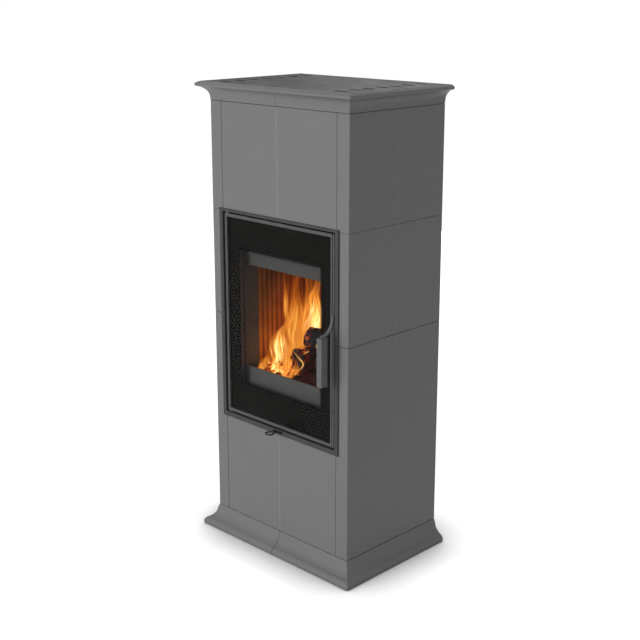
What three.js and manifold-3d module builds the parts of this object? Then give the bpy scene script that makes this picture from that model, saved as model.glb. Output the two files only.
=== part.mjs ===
// A tiled wood stove: a steel firebox with a glass door, clad in glazed tiles between a
// moulded plinth and a moulded cornice.
// Frame: millimetres, +Z up, the front faces -Y, the origin is on the floor at the middle.

import * as THREE from 'three';
import { mergeVertices } from 'three/addons/utils/BufferGeometryUtils.js';
import Module from 'manifold-3d';

const wasm = await Module();
wasm.setup();

// ---- Driving dimensions -------------------------------------------------------------

// Tiled body
const bodyWidth = 530;
const bodyDepth = 378;
const plinthHeight = 62;
const plinthReach = 35;
const corniceHeight = 52;
const corniceReach = 31;
const tileCourse = 303.4;
const tileJoint = 1.2;
const hairJoint = 0.5;
const tileThickness = 12;
const cornerReturn = 43.5;
const tileEdge = 0.9;
const seatGap = 0.3;
const past = 1; // how far a cutting shape runs past the face it leaves by
const roundSteps = 32;

// Top plate
const topPlateThickness = 5.5;
const topPlateLedge = 18;
const topPlateGap = 0.8;
const ledgeChamfer = 1.2;
const airSlotCount = 7;
const airSlotPitch = 52;
const airSlotFirst = 17;
const airSlotLength = 45;
const airSlotWidth = 12;
const airSlotInset = 47.5;
const lidRadius = 92;
const lidGap = 1;
const lidSeatWidth = 10;
const lidSeatThickness = 3;
const lidNotchRadius = 5;
const lidEdge = 0.6;

// Steel body behind the tiles
const sheet = 2;
const carcassReturn = 30;
const railMargin = 16;
const airChannel = 40.4;
const backPanelInset = 4.7;
const backPanelBottom = 31;
const backSlotRows = 9;
const backSlotRowsTop = 5;
const backSlotFirst = 124;
const backSlotHead = 62;
const backSlotSpread = 84;
const backSlotPitch = 26;
const backSlotLength = 120;
const backSlotWidth = 7;
const basePlateThickness = 4;
const legWidth = 32;
const legSetback = 10;

// Insert frame and door
const flangeOverlap = 10.5;
const flangeDepth = 4.7;
const flangeBevel = 1.6;
const insertPlay = 0.9;
const doorGap = 5.2;
const doorSillGap = 4.2;
const doorRecess = 4.5;
const doorDepth = 25.5;
const rimSide = 8;
const rimEnd = 9;
const rimLatch = 5;
const glassRecess = 1.2;
const glassThickness = 4;
const glassPlay = 0.5;
const glassEdge = 0.6;
const tapeWidth = 10;
const tapeSpace = 1.8;
const ledgeWidth = 42;
const ledgeSill = 84;
const ledgeHead = 84.5;
const channelWidth = 16;
const channelDepth = 12;
const ropePlay = 2;
const ropeEdge = 3;
const doorSheet = 2;
const sealRibWidth = 6;
const sealRibInset = 3;
const hingePinRadius = 3;
const hingePinPlay = 0.4;
const hingeInset = 6;
const hingeSetback = 7;
const hingeBush = 12;
const hingeWasher = 2;
const pinTipGap = 1;
const bushGap = 0.2;

// Latch and handle
const barWidth = 5.5;
const barDepth = 6;
const barGroove = 2.5;
const barSill = 107;
const barHead = 106.5;
const barEndGap = 2;
const barEdge = 0.6;
const barPinRadius = 1.5;
const barPinLength = 5;
const gripWidth = 18;
const gripDepth = 23;
const gripLength = 135;
const gripDrop = 50;
const gripBelowBarTop = 162.5;
const gripReach = 54;
const gripEdge = 1.4;
const neckThickness = 3.5;
const neckFlare = 16;
const hookThickness = 5;
const hookInset = 30;
const hookReach = 24;
const hookNose = 2.6;
const hookNoseLength = 5.5;
const hookNotchWidth = 16;
const hookNotchDepth = 10;
const hookStart = 0.1;
const keeperPlay = 1.7;
const keeperPlate = 1.6;
const keeperDepth = 23;
const keeperHeight = 20;
const keeperLugDepth = 6;
const keeperLugHeight = 14;

// Firebox
const shellPlate = 5;
const mouthPlate = 3;
const shellFront = 39;
const shellBack = 63.5;
const shellRise = 756.5;
const shellDrop = 2.5;
const plateMargin = 9;
const bracketWidth = 9;
const mouthPlay = 0.5;
const framePlay = 0.7;
const liningThickness = 30;
const liningPlay = 0.5;
const fluteDepth = 6;
const flutePitch = 20;
const mouthSill = 141;
const mouthHead = 146.5;
const cheekDepth = 52;
const guardDrop = 63;
const guardOverlap = 2;
const floorTop = 96.5;
const floorThickness = 30;
const liningHead = 118.5;
const grateWidth = 178;
const grateDepth = 118;
const grateThickness = 12;
const grateLedge = 10;
const gratePlay = 2;
const grateSink = 2;
const grateBars = 8;
const panWidth = 236;
const panDepth = 212;
const panHeight = 50;
const panWall = 1.5;
const panRise = 8;
const panRunner = 10;
const panPlay = 2;
const panFace = 2;
const panFaceMargin = 6;
const panLugWidth = 60;
const panLugReach = 14;
const panLugThickness = 3;
const baffleThickness = 25;
const baffleDepth = 160;
const upperBaffleThickness = 4;
const upperBaffleRise = 75;
const upperBaffleWay = 80;
const flueRadius = 75;
const flueWall = 2;
const flueStep = 0.5;
const flueHolePlay = 4;
const flueDrop = 89;
const outletHeight = 38;
const capPlay = 1;
const capSkirt = 12;

// Air slide
const tongueWidth = 14;
const tongueThickness = 4;
const tongueRise = 3;
const eyeRadius = 13.5;
const eyeHole = 9;
const eyeReach = 31;
const eyeEdge = 0.8;
const eyeLap = 3;
const tongueBend = 4;
const tongueSlotPlay = 11;
const tongueSlotDrop = 1;
const slidePlay = 0.5;
const shutterLength = 90;
const shutterSetback = 40;
const airHoleCount = 3;
const airHoleLength = 60;
const airHoleWidth = 12;
const guidePlay = 1;
const guideWall = 3;
const guideFloor = 2;
const guideFront = 12;
const guideBack = 25;

// Fire
const logRadius = 39;
const topLogLength = 153;
const logPlay = 0.5;
const logFrontGap = 39.5;
const logBackGap = 13;
const logSideGap = 90;
const logSpread = 97;
const emberHeight = 52;
const emberSetback = 8;
const emberBackGap = 27.5;
const emberSideGap = 6;

// ---- Places worked out from them -----------------------------------------------------

const halfWidth = bodyWidth / 2;
const frontFace = -bodyDepth / 2;
const backFace = bodyDepth / 2;
const tileBottom = plinthHeight + tileJoint;
const tileTop = tileBottom + 4 * tileCourse + 3 * tileJoint;
const corniceBottom = tileTop + tileJoint;
const stoveTop = corniceBottom + corniceHeight;
const doorOpeningBottom = tileBottom + tileCourse;
const doorOpeningTop = tileTop - tileCourse;
const midJointBottom = tileBottom + 2 * tileCourse + tileJoint;
const openingHalf = halfWidth - cornerReturn + tileJoint / 2;

const skinHalf = halfWidth - tileThickness - seatGap;
const carcassHalf = skinHalf - sheet;
const carcassFront = frontFace + tileThickness + seatGap;
const carcassBack = backFace - backPanelInset - sheet - seatGap;
const topPlateBottom = stoveTop - topPlateThickness - topPlateGap;

const revealHalf = openingHalf - insertPlay - sheet;
const revealBottom = doorOpeningBottom + insertPlay + sheet + tongueThickness + shellDrop;
const revealTop = doorOpeningTop - insertPlay - sheet;
const flangeFront = frontFace - seatGap - flangeDepth;

const doorHalf = revealHalf - doorGap;
const doorBottom = revealBottom + doorSillGap;
const doorTop = revealTop - doorGap;
const doorFront = flangeFront + doorRecess;
const doorBack = doorFront + doorDepth;
const glassFront = doorFront + glassRecess;
const glassBack = glassFront + glassThickness;
const ledgeFront = glassBack + tapeSpace;
const ledgeBack = ledgeFront + doorSheet;
const sealBack = ledgeBack + channelDepth;
const hingeX = -doorHalf + hingeInset;
const hingeY = doorFront + hingeSetback;
const rimLatchOuter = doorHalf - barWidth - barGroove;
const barX = doorHalf - barWidth / 2;
const barY = doorFront + barDepth / 2;
const barBottom = doorBottom + barSill;
const barTop = doorTop - barHead;
const gripFront = frontFace - gripReach;
const gripTop = barTop - gripBelowBarTop;
const neckTop = gripTop + gripDrop;

const plateBack = frontFace + shellFront;
const mouthFront = plateBack - seatGap - mouthPlate;
const shellHalf = carcassHalf - airChannel;
const shellInner = shellHalf - shellPlate;
const shellBackFace = backFace - shellBack;
const shellBackInner = shellBackFace - shellPlate;
const shellBottom = revealBottom - shellDrop;
const shellFloor = shellBottom + shellPlate;
const shellTop = shellBottom + shellRise;
const liningOuter = shellInner - liningPlay;
const fireHalf = liningOuter - liningThickness;
const sillZ = doorBottom + mouthSill;
const lintelZ = doorTop - mouthHead;
const hearthZ = shellBottom + floorTop;
const liningTop = doorTop - liningHead;
const ledgeHalf = doorHalf - ledgeWidth;
const ledgeBottom = doorBottom + ledgeSill;
const ledgeTop = doorTop - ledgeHead;
const flueZ = shellTop - flueDrop;
const flueEnd = -gripFront;

// ---- Finishes ------------------------------------------------------------------------

function finish(color, roughness, metalness) {
  return new THREE.MeshStandardMaterial({ color, roughness, metalness });
}

const glaze = finish(0x76767a, 0.35, 0);
const topPaint = finish(0x5d5d60, 0.5, 0.2);
const darkPaint = finish(0x3a3a3c, 0.5, 0.4);
const rimPaint = finish(0x5a5a5c, 0.4, 0.5);
const gripPaint = finish(0x66666a, 0.4, 0.5);
const mouthPaint = finish(0x4c4a4b, 0.55, 0.3);
const plainSteel = finish(0x6b6c6e, 0.5, 0.7);
const zincSheet = finish(0x8d9092, 0.45, 0.8);
const castIron = finish(0x2b2b2c, 0.7, 0.5);
const fireBrick = finish(0xb77a45, 0.9, 0);
const blackGlass = finish(0x1c1a16, 0.1, 0);
const sealRope = finish(0x3b3a38, 0.95, 0);
const charredWood = finish(0x3a1a12, 0.9, 0);
const glowingEmber = finish(0xd0521a, 0.9, 0);

// ---- Shape helpers -------------------------------------------------------------------

// A plain block between two corners.
function block(x0, x1, y0, y1, z0, z1) {
  const box = new THREE.BoxGeometry(x1 - x0, y1 - y0, z1 - z0);
  return box.translate((x0 + x1) / 2, (y0 + y1) / 2, (z0 + z1) / 2);
}

function weld(geometry) {
  const bare = geometry.clone();
  bare.deleteAttribute('normal');
  bare.deleteAttribute('uv');
  return mergeVertices(bare, 1e-4);
}

function solid(geometry) {
  const welded = weld(geometry);
  const vertProperties = new Float32Array(welded.attributes.position.array);
  const triVerts = new Uint32Array(welded.index.array);
  return new wasm.Manifold(new wasm.Mesh({ numProp: 3, vertProperties, triVerts }));
}

function geometryOf(body) {
  const mesh = body.getMesh();
  const geometry = new THREE.BufferGeometry();
  geometry.setAttribute('position', new THREE.BufferAttribute(mesh.vertProperties, 3));
  geometry.setIndex(new THREE.BufferAttribute(mesh.triVerts, 1));
  return geometry;
}

// Joins the first list of shapes and cuts away the second.
function carve(shapes, cuts = []) {
  const whole = shapes.map(solid).reduce((sum, next) => sum.add(next));
  return geometryOf(cuts.map(solid).reduce((rest, next) => rest.subtract(next), whole));
}

function outline(points) {
  return new THREE.Shape(points.map(([x, y]) => new THREE.Vector2(x, y)));
}

function rectangle(x0, x1, y0, y1) {
  return outline([[x0, y0], [x1, y0], [x1, y1], [x0, y1]]);
}

function rectangleWithHole(outer, inner) {
  const shape = rectangle(...outer);
  shape.holes.push(rectangle(...inner));
  return shape;
}

function disc(radius, holeRadius = 0) {
  const shape = new THREE.Shape();
  shape.absarc(0, 0, radius, 0, 2 * Math.PI);
  if (holeRadius > 0) {
    const hole = new THREE.Path();
    hole.absarc(0, 0, holeRadius, 0, 2 * Math.PI);
    shape.holes.push(hole);
  }
  return shape;
}

// The same rectangle with every side moved out.
function grown(box, by) {
  return [box[0] - by, box[1] + by, box[2] - by, box[3] + by];
}

// Thickens a flat outline drawn in X and Y from z0 up to z1, with softened edges if asked.
function slab(shape, z0, z1, edge = 0, curveSegments = 12) {
  const settings = {
    depth: z1 - z0 - 2 * edge,
    bevelEnabled: edge > 0,
    bevelThickness: edge,
    bevelSize: edge,
    bevelOffset: -edge,
    bevelSegments: 2,
    curveSegments,
  };
  return new THREE.ExtrudeGeometry(shape, settings).translate(0, 0, z0 + edge);
}

// The same for an outline drawn in X and Z, from y0 back to y1.
function standing(shape, y0, y1, edge = 0, curveSegments = 12) {
  const plate = slab(shape, 0, y1 - y0, edge, curveSegments);
  return plate.rotateX(Math.PI / 2).translate(0, y1, 0);
}

// The same for an outline drawn in Y and Z, from x0 across to x1.
function sideways(shape, x0, x1, edge = 0) {
  const alongX = new THREE.Matrix4().makeBasis(
    new THREE.Vector3(0, 1, 0), new THREE.Vector3(0, 0, 1), new THREE.Vector3(1, 0, 0));
  return slab(shape, 0, x1 - x0, edge).applyMatrix4(alongX).translate(x0, 0, 0);
}

// Turns every face round where the body came out inside out.
function faceOut(geometry) {
  const body = weld(geometry);
  const corners = body.attributes.position;
  const index = body.index.array;
  const [a, b, c] = [new THREE.Vector3(), new THREE.Vector3(), new THREE.Vector3()];
  let volume = 0;
  for (let i = 0; i < index.length; i += 3) {
    a.fromBufferAttribute(corners, index[i]);
    b.fromBufferAttribute(corners, index[i + 1]);
    c.fromBufferAttribute(corners, index[i + 2]);
    volume += a.dot(b.cross(c));
  }
  if (volume < 0) {
    for (let i = 0; i < index.length; i += 3) {
      [index[i + 1], index[i + 2]] = [index[i + 2], index[i + 1]];
    }
  }
  return body;
}

function mirrored(geometry) {
  return faceOut(geometry.clone().scale(-1, 1, 1));
}

// A body through a row of sections that all have the same flat profile.
function loft(profile, sections) {
  const count = profile.length;
  const positions = sections.flat(2);
  const flat = profile.map(([x, y]) => new THREE.Vector2(x, y));
  const clockwise = THREE.ShapeUtils.isClockWise(flat);
  const last = (sections.length - 1) * count;
  const index = [];
  for (const [p, q, r] of THREE.ShapeUtils.triangulateShape(flat, [])) {
    const [first, second] = clockwise ? [q, p] : [p, q];
    index.push(first, second, r, last + r, last + second, last + first);
  }
  for (let row = 0; row < sections.length - 1; row += 1) {
    for (let i = 0; i < count; i += 1) {
      const here = row * count + i;
      const next = row * count + (i + 1) % count;
      index.push(here, here + count, next, next, here + count, next + count);
    }
  }
  const geometry = new THREE.BufferGeometry();
  geometry.setAttribute('position', new THREE.Float32BufferAttribute(positions, 3));
  geometry.setIndex(index);
  return faceOut(geometry);
}

// ---- Scene ---------------------------------------------------------------------------

const stove = new THREE.Group();
stove.name = 'tiled_stove';

function add(name, geometry, material, x = 0, y = 0, z = 0) {
  const mesh = new THREE.Mesh(geometry, material);
  mesh.name = name;
  mesh.position.set(x, y, z);
  stove.add(mesh);
  return mesh;
}

// Adds the right-hand piece and its mirror image.
function addPair(name, rightGeometry, material, ending = '') {
  add(`${name}_right${ending}`, rightGeometry, material);
  add(`${name}_left${ending}`, mirrored(rightGeometry), material);
}

// ---- Plinth and cornice --------------------------------------------------------------

// A moulding from the middle of the front, round the right corner to the back.
// The profile gives how far each point stands out from the tile face and its height.
function moulding(profile, jointWidth) {
  const atMiddle = profile.map(([reach, z]) => [jointWidth / 2, frontFace - reach, z]);
  const atCorner = profile.map(([reach, z]) => [halfWidth + reach, frontFace - reach, z]);
  const atBack = profile.map(([reach, z]) => [halfWidth + reach, backFace, z]);
  return loft(profile, [atMiddle, atCorner, atBack]);
}

// Plinth: a cove that flares out to a rounded nose.
function plinthProfile() {
  const cove = [[0.1, 0.145], [0.17, 0.31], [0.25, 0.42], [0.41, 0.54], [0.6, 0.63], [0.79, 0.69]];
  const nose = [[0.93, 0.77], [0.99, 0.86], [1, 0.93], [0.97, 1]];
  const flare = [...cove, ...nose];
  const outer = flare.map(([out, down]) => [out * plinthReach, plinthHeight * (1 - down)]);
  const inner = [[-tileThickness, 0], [-tileThickness, plinthHeight]];
  return [[0, plinthHeight], ...outer, ...inner];
}

// Cornice: a hollow under a rounded lip, a bead, and a ledge that carries the top plate.
function corniceProfile() {
  const under = [[0, 0], [0.02, 0.17], [0.1, 0.36], [0.27, 0.52], [0.6, 0.67], [0.92, 0.73]];
  const lip = [[0.98, 0.77], [1, 0.84], [1, 0.92], [0.95, 0.98], [0.88, 1]];
  const outer = [...under, ...lip].map(([out, up]) => [out * corniceReach, up * corniceHeight]);
  const ledge = corniceHeight - topPlateThickness - topPlateGap - seatGap;
  const inner = [
    [topPlateLedge + ledgeChamfer, corniceHeight],
    [topPlateLedge, corniceHeight - ledgeChamfer],
    [topPlateLedge, ledge],
    [-tileThickness, ledge],
    [-tileThickness, 0],
  ];
  return [...outer, ...inner].map(([reach, z]) => [reach, corniceBottom + z]);
}

addPair('plinth', moulding(plinthProfile(), tileJoint), glaze);
addPair('cornice', moulding(corniceProfile(), hairJoint), glaze);

// ---- Tiles ---------------------------------------------------------------------------

function flatTile(width, z0, z1) {
  const face = rectangle(-width / 2, width / 2, z0, z1);
  return standing(face, -tileThickness / 2, tileThickness / 2, tileEdge);
}

function addFrontTiles(ending, z0, z1) {
  const width = halfWidth - cornerReturn - tileJoint;
  const x = (width + tileJoint) / 2;
  const y = frontFace + tileThickness / 2;
  add(`front_tile_right_${ending}`, flatTile(width, z0, z1), glaze, x, y);
  add(`front_tile_left_${ending}`, flatTile(width, z0, z1), glaze, -x, y);
}

// L-shaped tile: a narrow leg on the front and a long leg along the side.
function cornerTile(z0, z1) {
  const inner = halfWidth - tileThickness;
  const plan = new THREE.Shape();
  plan.moveTo(openingHalf, frontFace);
  plan.lineTo(halfWidth - 2 * tileEdge, frontFace);
  plan.absarc(halfWidth - 2 * tileEdge, frontFace + 2 * tileEdge, 2 * tileEdge, -Math.PI / 2, 0);
  plan.lineTo(halfWidth, -hairJoint / 2);
  plan.lineTo(inner, -hairJoint / 2);
  plan.lineTo(inner, frontFace + tileThickness);
  plan.lineTo(openingHalf, frontFace + tileThickness);
  return slab(plan, z0, z1, tileEdge, 3);
}

function sideTile(z0, z1) {
  const face = rectangle(hairJoint / 2, backFace - seatGap, z0, z1);
  return sideways(face, halfWidth - tileThickness, halfWidth, tileEdge);
}

// Lower course up to the middle joint, then the upper course with a hair joint in it.
const upperSplit = tileTop - tileCourse - tileJoint / 2;
const courses = [
  ['_lower', tileBottom, midJointBottom],
  ['_upper', midJointBottom + tileJoint, upperSplit - hairJoint / 2],
  ['_top', upperSplit + hairJoint / 2, tileTop],
];
for (const [ending, z0, z1] of courses) {
  addPair('corner_tile', cornerTile(z0, z1), glaze, ending);
  addPair('side_tile', sideTile(z0, z1), glaze, ending);
}
addFrontTiles('upper', doorOpeningTop, tileTop);
addFrontTiles('lower', tileBottom, doorOpeningBottom);

// ---- Top plate and lid ---------------------------------------------------------------

function roundedSlot(cx, cy, length, width) {
  const path = new THREE.Path();
  const half = (length - width) / 2;
  path.moveTo(cx - half, cy - width / 2);
  path.absarc(cx + half, cy, width / 2, -Math.PI / 2, Math.PI / 2);
  path.absarc(cx - half, cy, width / 2, Math.PI / 2, 1.5 * Math.PI);
  return path;
}

function topPlate() {
  const edge = topPlateLedge - topPlateGap;
  const plan = rectangle(-halfWidth - edge, halfWidth + edge, frontFace - edge, backFace - seatGap);
  for (let i = 0; i < airSlotCount; i += 1) {
    const y = frontFace + airSlotFirst + i * airSlotPitch;
    for (const side of [-1, 1]) {
      const x = side * (halfWidth - airSlotInset);
      plan.holes.push(roundedSlot(x, y, airSlotLength, airSlotWidth));
    }
  }
  const bottom = topPlateBottom;
  const plate = slab(plan, bottom, bottom + topPlateThickness, 0, 4);
  const mouth = slab(disc(lidRadius + lidGap), bottom - past, bottom + topPlateThickness + past, 0, 24);
  const seatOuter = lidRadius + lidSeatWidth / 2;
  const ring = disc(seatOuter, seatOuter - lidSeatWidth);
  const seat = slab(ring, bottom - lidSeatThickness, bottom, 0, 24);
  return carve([carve([plate], [mouth]), seat]);
}

function topLid() {
  const lid = slab(disc(lidRadius), 0, topPlateThickness - seatGap, lidEdge, 24);
  const height = 2 * topPlateThickness;
  const round = new THREE.CylinderGeometry(lidNotchRadius, lidNotchRadius, height, 12);
  const notch = round.rotateX(Math.PI / 2);
  const cuts = [-1, 1].map((side) => notch.clone().translate(side * lidRadius, 0, 0));
  return carve([lid], cuts);
}

add('top_plate', topPlate(), topPaint);
add('top_lid', topLid(), topPaint, 0, 0, topPlateBottom + seatGap);

// ---- Steel body behind the tiles -----------------------------------------------------

const bodyTop = topPlateBottom - lidSeatThickness - seatGap;

// Side sheet with a return behind the front tiles and another that takes the back panel.
function carcassSide() {
  const inner = skinHalf - carcassReturn;
  const plan = outline([
    [inner, carcassFront],
    [skinHalf, carcassFront],
    [skinHalf, carcassBack],
    [inner, carcassBack],
    [inner, carcassBack - sheet],
    [carcassHalf, carcassBack - sheet],
    [carcassHalf, carcassFront + sheet],
    [inner, carcassFront + sheet],
  ]);
  return slab(plan, 0, bodyTop);
}

// Sheet behind a pair of front tiles, between the returns of the side sheets.
function frontRail(z0, z1) {
  const half = skinHalf - carcassReturn - seatGap;
  return block(-half, half, carcassFront, carcassFront + sheet, z0 + railMargin, z1 - railMargin);
}

// Rear sheet with rows of air slots and the hole for the flue spigot.
function backPanel() {
  const half = skinHalf;
  const panel = rectangle(-half, half, backPanelBottom, bodyTop);
  const addRow = (z) => {
    for (const x of [-backSlotSpread, backSlotSpread]) {
      panel.holes.push(roundedSlot(x, z, backSlotLength, backSlotWidth));
    }
  };
  for (let row = 0; row < backSlotRows; row += 1) {
    addRow(backSlotFirst + row * backSlotPitch);
  }
  for (let row = 0; row < backSlotRowsTop; row += 1) {
    addRow(bodyTop - backSlotHead - row * backSlotPitch);
  }
  const front = carcassBack + seatGap;
  const flueHole = tube(flueRadius + flueHolePlay, 4 * sheet, 'Y').translate(0, front, flueZ);
  return carve([standing(panel, front, front + sheet, 0, 4)], [flueHole]);
}

// Foot plate with four welded legs that carry the firebox.
function stoveStand() {
  const half = carcassHalf - seatGap;
  const front = carcassFront + sheet + seatGap;
  const foot = block(-half, half, front, carcassBack - sheet - seatGap, 0, basePlateThickness);
  const xs = [-shellHalf, shellHalf - legWidth];
  const ys = [plateBack + legSetback, shellBackFace - legWidth];
  const [low, high] = [basePlateThickness / 2, shellBottom - seatGap];
  const leg = (x, y) => block(x, x + legWidth, y, y + legWidth, low, high);
  const legs = xs.flatMap((x) => ys.map((y) => leg(x, y)));
  return carve([foot, ...legs]);
}

addPair('carcass', carcassSide(), zincSheet);
add('front_rail_lower', frontRail(tileBottom, doorOpeningBottom), zincSheet);
add('front_rail_upper', frontRail(doorOpeningTop, tileTop), zincSheet);
add('back_panel', backPanel(), darkPaint);
add('stove_stand', stoveStand(), plainSteel);

// ---- Firebox -------------------------------------------------------------------------

// A round hole or tube along Y or Z.
function tube(radius, length, axis) {
  const cylinder = new THREE.CylinderGeometry(radius, radius, length, roundSteps);
  return axis === 'Z' ? cylinder.rotateX(Math.PI / 2) : cylinder;
}

const panHalf = panWidth / 2;
const panBottom = shellFloor + seatGap;
const panTop = panBottom + panRise + panHeight;
const cheekHalf = fireHalf + mouthPlate;
const upperBaffleZ = liningTop + baffleThickness + upperBaffleRise;
const shutterFront = plateBack + shutterSetback;

// Openings in the firebox floor that the shutter covers.
function airHoles(z0, z1) {
  const holes = [];
  for (let i = 0; i < airHoleCount; i += 1) {
    const y = shutterFront + airHoleWidth * (1 + 2 * i);
    holes.push(block(-airHoleLength / 2, airHoleLength / 2, y, y + airHoleWidth, z0, z1));
  }
  return holes;
}

function fireboxShell() {
  const plateHalf = revealHalf + plateMargin;
  const plateEnd = plateBack + shellPlate;
  const [before, behind] = [plateBack - past, plateEnd + past];
  const body = block(-shellHalf, shellHalf, plateBack, shellBackFace, shellBottom, shellTop);
  const plate = block(-plateHalf, plateHalf, plateBack, plateEnd, shellBottom, revealTop + plateMargin);
  const roof = shellTop - shellPlate;
  const inside = block(-shellInner, shellInner, plateEnd, shellBackInner, shellFloor, roof);
  const mouthHalf = cheekHalf + mouthPlay;
  const mouthTop = lintelZ + mouthPlate + mouthPlay;
  const mouthCut = block(-mouthHalf, mouthHalf, before, behind, hearthZ, mouthTop);
  const panWay = panHalf + panPlay;
  const panCut = block(-panWay, panWay, before, behind, shellFloor, panTop + panPlay);
  const gasWay = flueRadius - flueWall - flueStep;
  const flueCut = tube(gasWay, 4 * shellPlate, 'Y').translate(0, shellBackFace, flueZ);
  const outletCut = tube(gasWay, 4 * shellPlate, 'Z').translate(0, 0, shellTop);
  const ledges = [];
  for (const side of [-1, 1]) {
    const xs = [side * shellInner, side * (shellInner - bracketWidth)].sort((a, b) => a - b);
    const floorZ = hearthZ - floorThickness - seatGap;
    ledges.push(block(...xs, plateEnd, shellBackInner, floorZ - bracketWidth, floorZ));
    const baffleZ = upperBaffleZ - seatGap;
    ledges.push(block(...xs, plateEnd, 0, baffleZ - bracketWidth, baffleZ));
  }
  const vents = airHoles(shellBottom - past, shellFloor + past);
  const hollow = carve([body, plate], [inside, mouthCut, panCut, flueCut, outletCut, ...vents]);
  const ring = disc(flueRadius, flueRadius - flueWall);
  const outlet = slab(ring, shellTop - past, shellTop + outletHeight, 0, 16);
  return carve([hollow, ...ledges, outlet]);
}

// Grey mouth of the firebox: front plate, seal rib, cheeks and ceiling.
function mouthFrame() {
  const half = revealHalf - framePlay;
  const plateEnd = mouthFront + mouthPlate;
  const hoodEnd = mouthFront + cheekDepth;
  const hearth = hearthZ + seatGap;
  const [low, high] = [revealBottom + framePlay, revealTop - framePlay];
  const front = block(-half, half, mouthFront, plateEnd, low, high);
  const hood = block(-cheekHalf, cheekHalf, plateEnd, hoodEnd, hearth, lintelZ + mouthPlate);
  const ribOuter = channelWidth - sealRibInset;
  const ledge = [-ledgeHalf, ledgeHalf, ledgeBottom, ledgeTop];
  const ring = rectangleWithHole(grown(ledge, ribOuter), grown(ledge, ribOuter - sealRibWidth));
  const rib = standing(ring, sealBack + seatGap, mouthFront);
  const way = block(-fireHalf, fireHalf, mouthFront - past, hoodEnd + past, hearth - past, lintelZ);
  const wide = panHalf + panPlay;
  const panWay = block(-wide, wide, mouthFront - past, plateEnd + past, shellFloor, panTop + panPlay);
  return carve([front, hood, rib], [way, panWay]);
}

// Plate in front of the embers that keeps the logs from rolling against the glass.
function logGuard() {
  const half = fireHalf + guardOverlap;
  const back = mouthFront - seatGap;
  return block(-half, half, back - mouthPlate, back, sillZ - guardDrop, sillZ);
}

// A lining board whose face is a row of upright rounded ribs. Drawn with the ribs towards -Y.
function flutedBoard(width, height) {
  const ribs = Math.round(width / flutePitch);
  const pitch = width / ribs;
  const steps = 5;
  const face = [];
  for (let i = 0; i < ribs * steps; i += 1) {
    const along = (i % steps) / steps;
    const crest = Math.sin(Math.PI * along);
    face.push([-width / 2 + (i / steps) * pitch, fluteDepth * (1 - crest)]);
  }
  const back = [[width / 2, fluteDepth], [width / 2, liningThickness], [-width / 2, liningThickness]];
  return slab(outline([...face, ...back]), 0, height);
}

const liningBottom = hearthZ + seatGap;
const liningHeight = liningTop - liningBottom;
const backLiningFront = shellBackInner - seatGap - liningThickness;
const sideLiningFront = mouthFront + cheekDepth + seatGap;
const sideLiningBack = backLiningFront - seatGap;

function sideLining() {
  const depth = sideLiningBack - sideLiningFront;
  const board = flutedBoard(depth, liningHeight).rotateZ(-Math.PI / 2);
  return board.translate(fireHalf, (sideLiningFront + sideLiningBack) / 2, liningBottom);
}

const grateSeat = hearthZ - grateThickness - grateSink;

function liningFloor() {
  const front = plateBack + shellPlate + seatGap;
  const back = shellBackInner - seatGap;
  const bottom = hearthZ - floorThickness;
  const board = block(-liningOuter, liningOuter, front, back, bottom, hearthZ);
  const [wide, deep] = [grateWidth / 2 + gratePlay, grateDepth / 2 + gratePlay];
  const well = block(-wide, wide, -deep, deep, grateSeat, hearthZ + past);
  const [inWide, inDeep] = [wide - grateLedge, deep - grateLedge];
  const shaft = block(-inWide, inWide, -inDeep, inDeep, bottom - past, grateSeat + past);
  return carve([board], [well, shaft]);
}

function grate() {
  const [wide, deep] = [grateWidth / 2, grateDepth / 2];
  const plate = block(-wide, wide, -deep, deep, 0, grateThickness);
  const pitch = grateWidth / (grateBars + 1);
  const reach = deep - grateLedge - gratePlay;
  const gaps = [];
  for (let i = 1; i <= grateBars; i += 1) {
    const x = i * pitch - wide;
    gaps.push(block(x - pitch / 4, x + pitch / 4, -reach, reach, -past, grateThickness + past));
  }
  return carve([plate], gaps);
}

// Tray on two runners, with a face plate that shuts its way in and a lug to pull it by.
function ashPan() {
  const front = mouthFront - seatGap - panFace;
  const start = front + panFace / 2;
  const back = front + panDepth;
  const trayBottom = panBottom + panRise;
  const insideBottom = trayBottom + panWall;
  const inner = panHalf - panWall;
  const tray = block(-panHalf, panHalf, start, back, trayBottom, panTop);
  const inside = block(-inner, inner, front + panFace + panWall, back - panWall, insideBottom, panTop + past);
  const runners = [-panHalf, panHalf - panRunner]
    .map((x) => block(x, x + panRunner, start, back, panBottom, insideBottom));
  const faceHalf = panHalf + panFaceMargin;
  const face = block(-faceHalf, faceHalf, front, front + panFace, panBottom, panTop + panFaceMargin);
  const lugZ = panBottom + panHeight / 2;
  const lugHalf = panLugWidth / 2;
  const lug = block(-lugHalf, lugHalf, front - panLugReach, start, lugZ, lugZ + panLugThickness);
  return carve([tray, face, lug, ...runners], [inside]);
}

function baffleLower() {
  const back = shellBackInner - seatGap;
  const top = liningTop + baffleThickness;
  return block(-liningOuter, liningOuter, back - baffleDepth, back, liningTop + seatGap, top);
}

function baffleUpper() {
  const front = plateBack + shellPlate + seatGap;
  const back = shellBackInner - upperBaffleWay;
  return block(-liningOuter, liningOuter, front, back, upperBaffleZ, upperBaffleZ + upperBaffleThickness);
}

function flueCollar() {
  const start = shellBackFace + seatGap;
  return standing(disc(flueRadius, flueRadius - flueWall), start, flueEnd, 0, 18);
}

// Cap over the unused top outlet.
function blankingCap() {
  const rim = flueRadius + flueWall + capPlay;
  const lid = slab(disc(rim), 0, flueWall, 0, 16);
  const skirt = slab(disc(rim, rim - flueWall), -capSkirt, flueWall / 2, 0, 16);
  return carve([lid, skirt]);
}

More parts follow.
